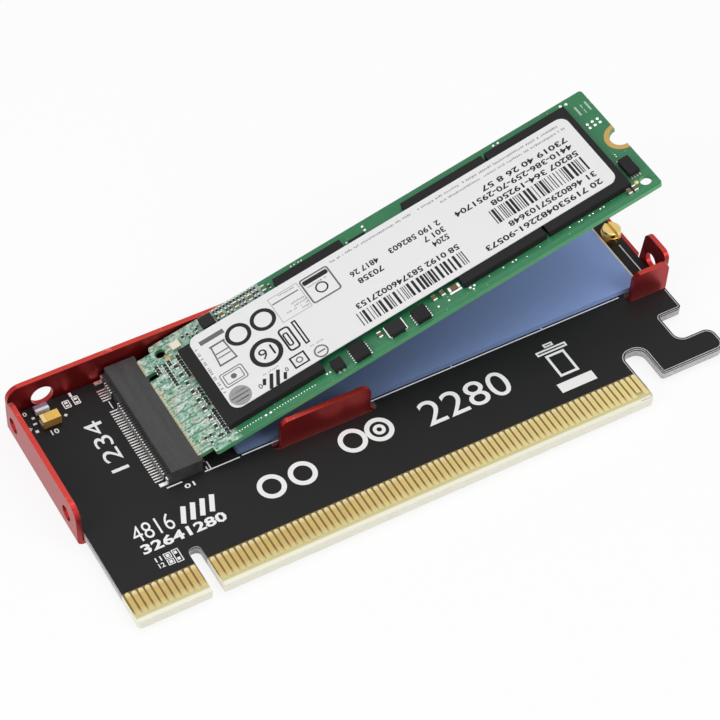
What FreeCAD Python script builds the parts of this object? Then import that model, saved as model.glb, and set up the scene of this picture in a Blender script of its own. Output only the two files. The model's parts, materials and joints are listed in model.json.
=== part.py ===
import FreeCAD, Part
import math
import os
import re
import Sketcher

doc = FreeCAD.newDocument("nvme_adapter_card")
sizes = doc.addObject("Spreadsheet::Sheet", "sizes")
sizes.Label = "driving sizes"

# Driving sizes in millimetres and degrees. A text starting with = is worked out from the others.
# The build frame has its corner at the tray's outer left, the card edge's front and the tray's underside.
DRIVING = [
    # folded tray
    ("sheet_thickness", 0.8),
    ("bend_radius", 0.25),
    ("tray_height", 7.3),
    ("bend_outer", "=sheet_thickness + bend_radius"),
    ("leg_overlap", 0.5),
    ("bend_leg", "=bend_outer + leg_overlap"),
    ("overcut", 0.1),
    ("slot_roundness", 0.42),
    ("floor_front", 17.1),
    ("left_wall_back", 40.6),
    ("back_wall_left", 0.6),
    ("back_wall_short", 0.85),
    ("wall_corner", 2.2),
    ("tab_corner", 1.3),
    ("relief_width", 0.8),
    ("tab_front", 17.79),
    ("tab_back", "=tab_front + sheet_thickness"),
    ("tab_bend", "=tab_front + bend_outer"),
    ("middle_tab_left", 32.5),
    ("middle_tab_length", 14.8),
    ("right_tab_length", 6.4),
    ("end_tab_front", 19.4),
    ("end_tab_width", 6.0),
    ("end_tab_slope", 0.7),
    ("wall_hole_height", 3.7),
    ("left_hole_diameter", 2.5),
    ("left_hole_front", 20.46),
    ("left_hole_spacing", 17.69),
    ("back_hole_diameter", 3.5),
    ("back_hole_across", 6.0),
    ("end_hole_diameter", 2.5),
    ("end_hole_along", 22.6),
    ("end_hole_height", 3.1),
    # adapter board
    ("board_length", 97.9),
    ("board_width", 41.15),
    ("board_thickness", 1.6),
    ("board_gap", 0.25),
    ("end_gap", 0.8),
    ("board_corner", 0.5),
    ("board_left", "=sheet_thickness + board_gap"),
    ("board_right", "=board_left + board_length"),
    ("board_top", "=sheet_thickness + board_thickness"),
    ("back_inner", "=board_width + board_gap"),
    ("tray_width", "=back_inner + sheet_thickness"),
    ("end_inner", "=board_right + end_gap"),
    ("tray_length", "=end_inner + sheet_thickness"),
    # card edge
    ("finger_pitch", 1.0),
    ("finger_width", 0.7),
    ("finger_start", 1.1),
    ("finger_length", 4.0),
    ("short_finger", 3.3),
    ("finger_margin", 0.65),
    ("plating", 0.05),
    ("first_group", 11),
    ("second_group", 69),
    ("first_finger", "=board_left + finger_margin"),
    ("key_width", 1.9),
    ("key_top", 7.8),
    ("key_centre", "=first_finger + (first_group + 0.5) * finger_pitch"),
    ("key_radius", "=key_width * slot_roundness"),
    ("second_finger", "=first_finger + (first_group + 2) * finger_pitch"),
    ("short_finger_at", "=second_finger + second_group * finger_pitch"),
    ("last_finger", "=short_finger_at + finger_pitch"),
    ("tongue_right", "=last_finger + finger_margin"),
    ("tongue_corner", 0.6),
    ("notch_width", 3.75),
    ("notch_top", 9.2),
    ("notch_radius", "=notch_width * slot_roundness"),
    ("hook_left", "=tongue_right + notch_width"),
    ("hook_reach", 1.5),
    ("hook_right", "=board_right + hook_reach"),
    ("hook_bottom", 3.3),
    ("hook_top", 7.5),
    ("hook_radius", 1.5),
    ("hook_throat", 4.25),
    ("hook_inner", "=board_right - hook_throat"),
    ("hook_open_top", 12.9),
    # slots that the tray's front tabs stand in
    ("slot_front_gap", 0.49),
    ("slot_width", 2.0),
    ("slot_end_gap", 1.1),
    ("slot_radius", 0.95),
    ("slot_front", "=tab_front - slot_front_gap"),
    ("slot_back", "=slot_front + slot_width"),
    ("slot_left", "=middle_tab_left - slot_end_gap"),
    ("slot_right", "=middle_tab_left + middle_tab_length + slot_end_gap"),
    ("right_tab_gap", 0.3),
    ("right_slot_gap", 0.8),
    ("right_tab_right", "=end_inner - right_tab_gap"),
    ("right_tab_left", "=right_tab_right - right_tab_length"),
    ("right_slot_left", "=right_tab_left - right_slot_gap"),
    # socket
    ("lane_centre", 30.05),
    ("socket_left", 15.2),
    ("socket_depth", 5.4),
    ("socket_width", 21.95),
    ("socket_height", 2.5),
    ("ledge_depth", 0.55),
    ("ledge_height", 1.2),
    ("slot_floor_height", 0.8),
    ("slot_roof_height", 2.08),
    ("mouth", "=socket_left + socket_depth"),
    ("socket_front", "=lane_centre - socket_width / 2"),
    ("cavity_wall", 1.75),
    ("cavity_left", "=socket_left + cavity_wall"),
    ("cavity_floor", "=board_top + slot_floor_height"),
    ("cavity_roof", "=board_top + slot_roof_height"),
    ("lip_length", 1.35),
    ("lip_rise", 0.505),
    ("mouth_overrun", 0.4),
    ("tongue_play", 0.085),
    ("rib_width", 0.8),
    # socket contacts
    ("contact_pitch", 0.5),
    ("contact_width", 0.2),
    ("contact_thickness", 0.15),
    ("contact_count", 30),
    ("contact_count_short", 5),
    ("front_count", 29),
    ("front_count_short", 4),
    ("tail_reach", 1.6),
    ("front_tail_reach", 1.0),
    ("rear_gap", 0.2),
    ("rear_run", 1.15),
    ("rear_tip", 1.2),
    ("front_tip", 1.3),
    ("front_wall", 0.3),
    ("anchor_reach", 1.3),
    ("anchor_thickness", 0.2),
    ("anchor_width", 0.6),
    ("anchor_inset", 0.05),
    # drive
    ("drive_length", 80),
    ("drive_width", 22),
    ("drive_thickness", 0.8),
    ("drive_tongue_width", 19.85),
    ("drive_tongue_length", 4.0),
    ("drive_corner", 0.5),
    ("drive_key_centre", 17.1),
    ("drive_key_width", 1.2),
    ("drive_key_depth", 3.5),
    ("drive_insertion", 1.6),
    ("drive_tilt", 15),
    ("hold_notch_diameter", 3.5),
    ("corner_hole_diameter", 1.8),
    ("corner_hole_inset", 1.7),
    ("corner_hole_v", 1.9),
    ("tool_hole_diameter", 1.6),
    ("tool_hole_u", 5.15),
    ("tool_hole_v", 20.0),
    ("pad_first", 1.25),
    ("pad_second", 18.1),
    ("pad_width", 0.35),
    ("pad_inset", 0.2),
    ("pad_length", 1.8),
    ("pad_plating", 0.03),
    ("drive_front", "=lane_centre - drive_width / 2"),
    ("pivot_depth", 1.15),
    ("pivot_rise", 1.6),
    ("pivot_x", "=mouth - pivot_depth"),
    ("pivot_z", "=board_top + pivot_rise"),
    ("pivot_u", "=drive_insertion - pivot_depth"),
    ("pivot_w", "=drive_thickness / 2"),
    ("drive_x", "=pivot_x - pivot_u * cos(drive_tilt * 1 deg) + pivot_w * sin(drive_tilt * 1 deg)"),
    ("drive_z", "=pivot_z - pivot_u * sin(drive_tilt * 1 deg) - pivot_w * cos(drive_tilt * 1 deg)"),
    ("key_y", "=drive_front + drive_key_centre"),
    ("cavity_front", "=lane_centre - drive_tongue_width / 2 - tongue_play"),
    ("cavity_back", "=lane_centre + drive_tongue_width / 2 + tongue_play"),
    ("row_first", "=drive_front + pad_first"),
    ("row_second", "=drive_front + pad_second"),
    # post and screw at the drive's far end
    ("post_x", 97.3),
    ("post_radius", 1.6),
    ("post_height", 1.3),
    ("post_stem_radius", 1.0),
    ("post_stem_length", 1.2),
    ("thread_radius", 0.8),
    ("thread_gap", 0.02),
    ("stem_gap", 0.03),
    ("screw_head_radius", 1.5),
    ("screw_head_height", 0.9),
    ("screw_length", 2.0),
    ("screw_slot_width", 0.5),
    ("screw_slot_depth", 0.5),
    ("thread_spare", 0.2),
    ("crown_radius", 0.25),
    # thermal pad
    ("pad_left", 26.3),
    ("pad_right", 95.5),
    ("pad_front", 19.3),
    ("pad_back", 40.6),
    ("pad_height", 0.9),
    # small parts at the back left
    ("tantalum_left", 3.95),
    ("tantalum_front", 36.4),
    ("tantalum_length", 2.8),
    ("tantalum_width", 1.6),
    ("tantalum_height", 1.6),
    ("terminal_thickness", 0.12),
    ("terminal_foot", 0.7),
    ("terminal_height", 0.8),
    ("terminal_inset", 0.2),
    ("led_left", 4.05),
    ("led_front", 39.3),
    ("led_length", 2.1),
    ("led_width", 1.2),
    ("led_height", 0.8),
    # drive parts: heights above the drive's board
    ("chip_height", 1.2),
    ("controller_side", 16.0),
    ("controller_u", 7.4),
    ("controller_v", 2.0),
    ("dram_u", 24.8),
    ("dram_v", 9.0),
    ("dram_length", 11.6),
    ("dram_width", 11.3),
    ("memory_u", 47.0),
    ("memory_v", 2.0),
    ("memory_length", 14.2),
    ("memory_width", 18.2),
    ("memory_gap", 0.5),
    ("label_u", 9.3),
    ("label_v", 3.6),
    ("label_length", 65.6),
    ("label_width", 15.0),
    ("label_corner", 1.5),
    ("label_thickness", 0.1),
    ("small_chip_height", 0.9),
    ("coil_height", 1.0),
    ("coil_side", 2.1),
    ("capacitor_height", 0.5),
    ("capacitor_length", 1.0),
    ("capacitor_width", 0.6),
    ("resistor_height", 0.35),
    ("resistor_length", 1.0),
    ("resistor_width", 0.5),
    ("resistor_u", 5.8),
    ("resistor_v", 3.2),
    ("resistor_pitch", 1.8),
    ("resistor_count", 8),
    ("edge_chip_u", 76.7),
    ("edge_chip_v", 3.6),
    ("edge_chip_length", 1.75),
    ("edge_chip_width", 3.25),
    ("lead_length", 0.45),
    ("lead_width", 0.22),
    ("lead_pitch", 0.45),
    ("lead_count", 4),
    ("lead_thickness", 0.15),
    ("lead_overlap", 0.2),
]

for index, (alias, value) in enumerate(DRIVING):
    cell = "B%d" % (index + 1)
    sizes.set("A%d" % (index + 1), alias)
    sizes.set(cell, str(value))
    sizes.setAlias(cell, alias)
doc.recompute()

ROLES = {"XY": "XY_Plane", "XZ": "XZ_Plane", "YZ": "YZ_Plane"}


def bound(text):
    """Point every size name in an expression at the sheet."""
    return re.sub(r"[a-z][a-z_]*", lambda match: "sizes." + match.group(0), str(text))


def number(text):
    return float(sizes.evalExpression(bound(text)))


def origin_item(body, role):
    for item in body.Origin.OriginFeatures:
        if item.Role == role:
            return item
    raise ValueError(role)


def checked(feature):
    doc.recompute()
    if "Invalid" in feature.State or "Error" in feature.State:
        raise RuntimeError("%s did not build" % feature.Name)
    if feature.Shape.isNull() or not feature.Shape.isValid():
        raise RuntimeError("%s has no valid shape" % feature.Name)
    return feature


def direction(value):
    return (value > 1e-9) - (value < -1e-9)


def shifted(text, steps, radius):
    if steps == 0:
        return text
    if text == "0":
        return radius if steps > 0 else "-(%s)" % radius
    return "%s %s (%s)" % (text, "+" if steps > 0 else "-", radius)


class Rules:
    """Collects a sketch's constraints and the expressions that drive them."""

    def __init__(self, sketch):
        self.sketch = sketch
        self.made = []
        self.texts = []

    def join(self, first, first_end, second, second_end):
        self.made.append(Sketcher.Constraint("Coincident", first, first_end, second, second_end))
        self.texts.append(None)

    def place(self, axis, element, end, text):
        if str(text) == "0":
            line = -2 if axis == "X" else -1
            self.made.append(Sketcher.Constraint("PointOnObject", element, end, line))
            self.texts.append(None)
            return
        self.made.append(Sketcher.Constraint("Distance" + axis, -1, 1, element, end, number(text)))
        self.texts.append(text)

    def radius(self, element, text):
        self.made.append(Sketcher.Constraint("Radius", element, number(text)))
        self.texts.append(text)

    def apply(self):
        base = self.sketch.ConstraintCount
        self.sketch.addConstraint(self.made)
        for offset, text in enumerate(self.texts):
            if text is not None:
                self.sketch.setExpression("Constraints[%d]" % (base + offset), bound(text))


def draw_outline(sketch, corners):
    """Closed outline of straight edges; a corner with a third entry is rounded by that radius."""
    count = len(corners)
    spots = [(number(corner[0]), number(corner[1])) for corner in corners]
    bends = []
    for index, corner in enumerate(corners):
        x, y = spots[index]
        before = spots[index - 1]
        after = spots[(index + 1) % count]
        if len(corner) < 3:
            bends.append(None)
            continue
        radius = number(corner[2])
        come = (direction(before[0] - x), direction(before[1] - y))
        leave = (direction(after[0] - x), direction(after[1] - y))
        start = (x + come[0] * radius, y + come[1] * radius)
        finish = (x + leave[0] * radius, y + leave[1] * radius)
        centre = (x + (come[0] + leave[0]) * radius, y + (come[1] + leave[1]) * radius)
        bends.append((come, leave, start, finish, centre, radius))
    geometry = []
    for index in range(count):
        following = (index + 1) % count
        start = spots[index] if bends[index] is None else bends[index][3]
        finish = spots[following] if bends[following] is None else bends[following][2]
        geometry.append(Part.LineSegment(FreeCAD.Vector(start[0], start[1], 0),
                                         FreeCAD.Vector(finish[0], finish[1], 0)))
    base = sketch.GeometryCount
    arcs = {}
    for index in range(count):
        if bends[index] is None:
            continue
        come, leave, start, finish, centre, radius = bends[index]
        first = math.atan2(start[1] - centre[1], start[0] - centre[0])
        last = math.atan2(finish[1] - centre[1], finish[0] - centre[0])
        forward = (last - first) % (2 * math.pi) < math.pi
        circle = Part.Circle(FreeCAD.Vector(centre[0], centre[1], 0), FreeCAD.Vector(0, 0, 1), radius)
        arc = Part.ArcOfCircle(circle, first, last) if forward else Part.ArcOfCircle(circle, last, first)
        arcs[index] = (base + len(geometry), forward)
        geometry.append(arc)
    sketch.addGeometry(geometry, False)
    rules = Rules(sketch)
    for index, corner in enumerate(corners):
        line_in = base + (index - 1) % count
        line_out = base + index
        if index not in arcs:
            rules.join(line_in, 2, line_out, 1)
            rules.place("X", line_out, 1, corner[0])
            rules.place("Y", line_out, 1, corner[1])
            continue
        arc, forward = arcs[index]
        first, last = (1, 2) if forward else (2, 1)
        come, leave = bends[index][0], bends[index][1]
        radius = corner[2]
        rules.join(line_in, 2, arc, first)
        rules.join(line_out, 1, arc, last)
        rules.place("X", arc, 3, shifted(corner[0], come[0] + leave[0], radius))
        rules.place("Y", arc, 3, shifted(corner[1], come[1] + leave[1], radius))
        rules.place("X", arc, first, shifted(corner[0], come[0], radius))
        rules.place("Y", arc, first, shifted(corner[1], come[1], radius))
        if leave[0] == 0:
            rules.place("Y", arc, last, shifted(corner[1], leave[1], radius))
        else:
            rules.place("X", arc, last, shifted(corner[0], leave[0], radius))
    rules.apply()


def draw_circle(sketch, x, y, radius):
    circle = Part.Circle(FreeCAD.Vector(number(x), number(y), 0), FreeCAD.Vector(0, 0, 1), number(radius))
    element = sketch.GeometryCount
    sketch.addGeometry([circle], False)
    rules = Rules(sketch)
    rules.place("X", element, 3, x)
    rules.place("Y", element, 3, y)
    rules.radius(element, radius)
    rules.apply()


def rectangle(left, low, right, high, radius=None):
    corners = [(left, low), (right, low), (right, high), (left, high)]
    if radius is None:
        return corners
    return [(x, y, radius) for x, y in corners]


def new_body(name, label):
    body = doc.addObject("PartDesign::Body", name)
    body.Label = label
    return body


def prism(body, name, plane, shapes, start, length, cut=False):
    """Pad or pocket of closed outlines and circles, from start, towards the plane's plus side."""
    sketch = body.newObject("Sketcher::SketchObject", name + "_sketch")
    sketch.AttachmentSupport = [(origin_item(body, ROLES[plane]), "")]
    sketch.MapMode = "FlatFace"
    height = "-(%s)" % start if plane == "XZ" else start
    sketch.setExpression(".AttachmentOffset.Base.z", bound(height))
    for shape in shapes:
        if shape[0] == "circle":
            draw_circle(sketch, shape[1], shape[2], shape[3])
        else:
            draw_outline(sketch, shape)
    kind = "PartDesign::Pocket" if cut else "PartDesign::Pad"
    feature = body.newObject(kind, name)
    feature.Profile = sketch
    feature.Type = "Length"
    feature.setExpression("Length", bound(length))
    feature.Reversed = (plane == "XZ") != cut
    body.Tip = feature
    sketch.Visibility = False
    return checked(feature)


def repeat(body, name, features, role, count, pitch):
    pattern = body.newObject("PartDesign::LinearPattern", name)
    pattern.Originals = features
    pattern.Direction = (origin_item(body, role), [""])
    pattern.setExpression("Occurrences", bound(count))
    pattern.setExpression("Length", bound("%s * (%s - 1)" % (pitch, count)))
    body.Tip = pattern
    return checked(pattern)


def round_edges(body, name, radius, spots):
    """Fillet the edges whose middles lie nearest the given spots."""
    base = body.Tip
    names = []
    for spot in spots:
        place = FreeCAD.Vector(*[number(text) for text in spot])
        best = min(range(len(base.Shape.Edges)),
                   key=lambda index: base.Shape.Edges[index].CenterOfMass.distanceToPoint(place))
        names.append("Edge%d" % (best + 1))
    fillet = body.newObject("PartDesign::Fillet", name)
    fillet.Base = (base, names)
    fillet.setExpression("Radius", bound(radius))
    body.Tip = fillet
    return checked(fillet)


NODES = []


def seat(body, lane):
    """Place a finished body: the card's parts square, the drive's parts tilted about its pivot."""
    place = ("create(<<placement>>; create(<<vector>>; %s; %s; %s); "
             "create(<<rotation>>; create(<<vector>>; 0; -1; 0); %s))")
    if lane == "card":
        texts = ("-tray_length / 2", "-tray_width / 2", "0", "0")
    else:
        texts = ("drive_x - tray_length / 2", "drive_front - tray_width / 2", "drive_z", "drive_tilt")
    body.setExpression("Placement", place % tuple(bound(text) for text in texts))
    checked(body)
    NODES.append(body)


# ---- folded tray ----
tray = new_body("tray", "folded tray")
prism(tray, "tray_floor", "XY", [[
    ("bend_outer", "floor_front"),
    ("middle_tab_left - relief_width", "floor_front"),
    ("middle_tab_left - relief_width", "tab_bend"),
    ("middle_tab_left + middle_tab_length + relief_width", "tab_bend"),
    ("middle_tab_left + middle_tab_length + relief_width", "floor_front"),
    ("right_tab_left - relief_width", "floor_front"),
    ("right_tab_left - relief_width", "tab_bend"),
    ("end_inner - bend_radius", "tab_bend"),
    ("end_inner - bend_radius", "end_tab_front + end_tab_width + relief_width"),
    ("tray_length", "end_tab_front + end_tab_width + relief_width", "sheet_thickness / 2"),
    ("tray_length", "back_inner - bend_radius", "sheet_thickness"),
    ("bend_outer", "back_inner - bend_radius"),
]], "0", "sheet_thickness")
prism(tray, "left_wall", "XZ", [[
    ("0", "tray_height"),
    ("0", "0", "bend_outer"),
    ("bend_leg", "0"),
    ("bend_leg", "sheet_thickness"),
    ("sheet_thickness", "sheet_thickness", "bend_radius"),
    ("sheet_thickness", "tray_height"),
]], "floor_front", "left_wall_back - floor_front")
prism(tray, "back_wall", "YZ", [[
    ("tray_width", "tray_height"),
    ("tray_width", "0", "bend_outer"),
    ("tray_width - bend_leg", "0"),
    ("tray_width - bend_leg", "sheet_thickness"),
    ("back_inner", "sheet_thickness", "bend_radius"),
    ("back_inner", "tray_height"),
]], "bend_outer", "tray_length - back_wall_short - bend_outer")
prism(tray, "back_wall_end", "YZ", [rectangle("back_inner", "bend_outer", "tray_width", "tray_height")],
      "back_wall_left", "bend_outer + leg_overlap - back_wall_left")
for tab, left, length in (("middle_tab", "middle_tab_left", "middle_tab_length"),
                          ("right_tab", "right_tab_left", "right_tab_length")):
    prism(tray, tab, "YZ", [[
        ("tab_front", "tray_height"),
        ("tab_front", "0", "bend_outer"),
        ("tab_front + bend_leg", "0"),
        ("tab_front + bend_leg", "sheet_thickness"),
        ("tab_back", "sheet_thickness", "bend_radius"),
        ("tab_back", "tray_height"),
    ]], left, length)
prism(tray, "end_tab", "XZ", [[
    ("tray_length", "tray_height"),
    ("tray_length", "0", "bend_outer"),
    ("tray_length - bend_leg", "0"),
    ("tray_length - bend_leg", "sheet_thickness"),
    ("end_inner", "sheet_thickness", "bend_radius"),
    ("end_inner", "tray_height"),
]], "end_tab_front", "end_tab_width")
prism(tray, "end_tab_trim", "YZ", [[
    ("end_tab_front + end_tab_width", "bend_outer"),
    ("end_tab_front + end_tab_width + overcut", "bend_outer"),
    ("end_tab_front + end_tab_width + overcut", "tray_height + overcut"),
    ("end_tab_front + end_tab_width - end_tab_slope", "tray_height + overcut"),
]], "end_inner - overcut", "sheet_thickness + 2 * overcut", cut=True)
half_sheet = "sheet_thickness / 2"
round_edges(tray, "wall_rounds", "wall_corner", [
    ("back_wall_left", "back_inner + " + half_sheet, "tray_height"),
    ("tray_length - back_wall_short", "back_inner + " + half_sheet, "tray_height"),
    (half_sheet, "floor_front", "tray_height"),
    (half_sheet, "left_wall_back", "tray_height"),
])
round_edges(tray, "tab_rounds", "tab_corner", [
    ("middle_tab_left", "tab_front + " + half_sheet, "tray_height"),
    ("middle_tab_left + middle_tab_length", "tab_front + " + half_sheet, "tray_height"),
    ("right_tab_left", "tab_front + " + half_sheet, "tray_height"),
    ("right_tab_right", "tab_front + " + half_sheet, "tray_height"),
    ("end_inner + " + half_sheet, "end_tab_front", "tray_height"),
    ("end_inner + " + half_sheet, "end_tab_front + end_tab_width - end_tab_slope", "tray_height"),
])
prism(tray, "left_holes", "YZ", [
    ("circle", "left_hole_front", "wall_hole_height", "left_hole_diameter / 2"),
    ("circle", "left_hole_front + left_hole_spacing", "wall_hole_height", "left_hole_diameter / 2"),
], "-overcut", "sheet_thickness + 2 * overcut", cut=True)
prism(tray, "back_hole", "XZ", [
    ("circle", "back_hole_across", "wall_hole_height", "back_hole_diameter / 2"),
], "back_inner - overcut", "sheet_thickness + 2 * overcut", cut=True)
prism(tray, "end_hole", "YZ", [
    ("circle", "end_hole_along", "end_hole_height", "end_hole_diameter / 2"),
], "end_inner - overcut", "sheet_thickness + 2 * overcut", cut=True)
seat(tray, "card")

# ---- adapter board ----
board = new_body("adapter_board", "adapter board")
prism(board, "board_plate", "XY", [[
    ("board_left", "0", "tongue_corner"),
    ("key_centre - key_width / 2", "0"),
    ("key_centre - key_width / 2", "key_top", "key_radius"),
    ("key_centre + key_width / 2", "key_top", "key_radius"),
    ("key_centre + key_width / 2", "0"),
    ("tongue_right", "0", "tongue_corner"),
    ("tongue_right", "notch_top", "notch_radius"),
    ("hook_left", "notch_top", "notch_radius"),
    ("hook_left", "hook_bottom", "board_corner"),
    ("hook_right", "hook_bottom", "hook_radius"),
    ("hook_right", "hook_top", "hook_radius"),
    ("hook_inner", "hook_top", "hook_radius"),
    ("hook_inner", "hook_open_top", "board_corner"),
    ("board_right", "hook_open_top", "board_corner"),
    ("board_right", "slot_front"),
    ("right_slot_left", "slot_front", "slot_radius"),
    ("right_slot_left", "slot_back", "slot_radius"),
    ("board_right", "slot_back"),
    ("board_right", "board_width", "board_corner"),
    ("board_left", "board_width", "board_corner"),
]], "sheet_thickness", "board_thickness")
prism(board, "tab_slot", "XY", [
    rectangle("slot_left", "slot_front", "slot_right", "slot_back", "slot_radius")],
      "sheet_thickness - overcut", "board_thickness + 2 * overcut", cut=True)
prism(board, "post_hole", "XY", [("circle", "post_x", "lane_centre", "post_stem_radius + stem_gap")],
      "board_top - post_stem_length - stem_gap", "post_stem_length + stem_gap + overcut", cut=True)
seat(board, "card")

# ---- gold card-edge contacts ----
for name, label, height in (
        ("edge_contacts_top", "card-edge contacts, top", "board_top"),
        ("edge_contacts_bottom", "card-edge contacts, underside", "sheet_thickness - plating")):
    contacts = new_body(name, label)
    for part, left, count in (("_first", "first_finger", "first_group"),
                              ("_second", "second_finger", "second_group")):
        finger = prism(contacts, name + part, "XY", [
            rectangle(left + " - finger_width / 2", "finger_start", left + " + finger_width / 2",
                      "finger_start + finger_length")], height, "plating")
        repeat(contacts, name + part + "_row", [finger], "X_Axis", count, "finger_pitch")
    for part, left, length in (("_short", "short_finger_at", "short_finger"),
                               ("_last", "last_finger", "finger_length")):
        prism(contacts, name + part, "XY", [
            rectangle(left + " - finger_width / 2", "finger_start + finger_length - " + length,
                      left + " + finger_width / 2", "finger_start + finger_length")], height, "plating")
    seat(contacts, "card")

# ---- socket ----
# The contacts' outlines also cut their slots in the housing.
rear_outline = [
    ("socket_left - tail_reach", "board_top"),
    ("socket_left - rear_gap", "board_top"),
    ("socket_left - rear_gap", "board_top + ledge_height"),
    ("socket_left + rear_run", "board_top + ledge_height"),
    ("socket_left + rear_run", "cavity_roof - contact_thickness"),
    ("cavity_left + rear_tip", "cavity_roof - contact_thickness"),
    ("cavity_left + rear_tip", "cavity_roof"),
    ("socket_left + rear_run - contact_thickness", "cavity_roof"),
    ("socket_left + rear_run - contact_thickness", "board_top + ledge_height + contact_thickness"),
    ("socket_left - rear_gap - contact_thickness", "board_top + ledge_height + contact_thickness"),
    ("socket_left - rear_gap - contact_thickness", "board_top + contact_thickness"),
    ("socket_left - tail_reach", "board_top + contact_thickness"),
]
front_outline = [
    ("mouth - front_tip", "cavity_floor"),
    ("mouth - front_wall", "cavity_floor"),
    ("mouth - front_wall", "board_top"),
    ("mouth + front_tail_reach", "board_top"),
    ("mouth + front_tail_reach", "board_top + contact_thickness"),
    ("mouth - front_wall + contact_thickness", "board_top + contact_thickness"),
    ("mouth - front_wall + contact_thickness", "cavity_floor + contact_thickness"),
    ("mouth - front_tip", "cavity_floor + contact_thickness"),
]
REAR_ROWS = [("long", "row_first", "contact_count"), ("short", "row_second", "contact_count_short")]
FRONT_ROWS = [("long", "row_first + contact_pitch / 2", "front_count"),
              ("short", "row_second + contact_pitch / 2", "front_count_short")]

housing = new_body("socket_housing", "drive socket housing")
prism(housing, "housing_block", "XZ", [[
    ("socket_left", "board_top"),
    ("mouth", "board_top"),
    ("mouth", "board_top + socket_height"),
    ("socket_left + ledge_depth", "board_top + socket_height"),
    ("socket_left + ledge_depth", "board_top + ledge_height"),
    ("socket_left", "board_top + ledge_height"),
]], "socket_front", "socket_width")
cavity_outline = [
    ("cavity_left", "cavity_floor"),
    ("mouth + mouth_overrun", "cavity_floor"),
    ("mouth + mouth_overrun", "cavity_roof + lip_rise * (lip_length + mouth_overrun) / lip_length"),
    ("mouth - lip_length", "cavity_roof"),
    ("cavity_left", "cavity_roof"),
]
prism(housing, "cavity_long", "XZ", [cavity_outline], "cavity_front",
      "key_y - rib_width / 2 - cavity_front", cut=True)
prism(housing, "cavity_short", "XZ", [cavity_outline], "key_y + rib_width / 2",
      "cavity_back - key_y - rib_width / 2", cut=True)
for side, outline, rows in (("rear", rear_outline, REAR_ROWS), ("front", front_outline, FRONT_ROWS)):
    for part, first, count in rows:
        slot = prism(housing, side + "_slot_" + part, "XZ", [outline], first + " - contact_width / 2",
                     "contact_width", cut=True)
        repeat(housing, side + "_slots_" + part, [slot], "Y_Axis", count, "contact_pitch")
seat(housing, "card")

for name, label, outline, rows in (
        ("socket_rear_contacts", "socket contacts, rear row", rear_outline, REAR_ROWS),
        ("socket_front_contacts", "socket contacts, front row", front_outline, FRONT_ROWS)):
    contacts = new_body(name, label)
    for part, first, count in rows:
        contact = prism(contacts, name + "_" + part, "XZ", [outline], first + " - contact_width / 2",
                        "contact_width")
        repeat(contacts, name + "_row_" + part, [contact], "Y_Axis", count, "contact_pitch")
    seat(contacts, "card")

anchors = new_body("socket_anchors", "socket solder anchors")
anchor_outline = [
    ("socket_left - anchor_reach", "board_top"),
    ("socket_left", "board_top"),
    ("socket_left", "board_top + ledge_height"),
    ("socket_left - anchor_thickness", "board_top + ledge_height"),
    ("socket_left - anchor_thickness", "board_top + anchor_thickness"),
    ("socket_left - anchor_reach", "board_top + anchor_thickness"),
]
prism(anchors, "anchor_front", "XZ", [anchor_outline], "socket_front + anchor_inset", "anchor_width")
prism(anchors, "anchor_back", "XZ", [anchor_outline],
      "socket_front + socket_width - anchor_inset - anchor_width", "anchor_width")
seat(anchors, "card")

# ---- thermal pad, post and screw ----
thermal_pad = new_body("thermal_pad", "thermal pad")
prism(thermal_pad, "pad_sheet", "XY", [
    rectangle("pad_left", "pad_front", "pad_right", "pad_back", "board_corner")], "board_top", "pad_height")
seat(thermal_pad, "card")

post = new_body("standoff", "drive standoff")
prism(post, "post_collar", "XY", [("circle", "post_x", "lane_centre", "post_radius")],
      "board_top", "post_height")
prism(post, "post_stem", "XY", [("circle", "post_x", "lane_centre", "post_stem_radius")],
      "board_top - post_stem_length", "post_stem_length")
prism(post, "post_thread", "XY", [("circle", "post_x", "lane_centre", "thread_radius")],
      "board_top + post_height - screw_length - thread_spare",
      "screw_length + thread_spare + overcut", cut=True)
seat(post, "card")

screw = new_body("drive_screw", "drive screw")
prism(screw, "screw_head", "XY", [("circle", "post_x", "lane_centre", "screw_head_radius")],
      "board_top + post_height", "screw_head_height")
prism(screw, "screw_shank", "XY", [("circle", "post_x", "lane_centre", "thread_radius - thread_gap")],
      "board_top + post_height - screw_length", "screw_length")
round_edges(screw, "screw_crown", "crown_radius", [
    ("post_x", "lane_centre", "board_top + post_height + screw_head_height")])
prism(screw, "screw_slot", "XY", [
    rectangle("post_x - screw_slot_width / 2", "lane_centre - screw_head_radius - overcut",
              "post_x + screw_slot_width / 2", "lane_centre + screw_head_radius + overcut")],
      "board_top + post_height + screw_head_height - screw_slot_depth",
      "screw_slot_depth + overcut", cut=True)
seat(screw, "card")

# ---- small parts at the back left ----
tantalum = new_body("tantalum_capacitor", "tantalum capacitor case")
prism(tantalum, "tantalum_case", "XY", [
    rectangle("tantalum_left", "tantalum_front", "tantalum_left + tantalum_length",
              "tantalum_front + tantalum_width")],
      "board_top + terminal_thickness", "tantalum_height - terminal_thickness")
seat(tantalum, "card")

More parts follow.
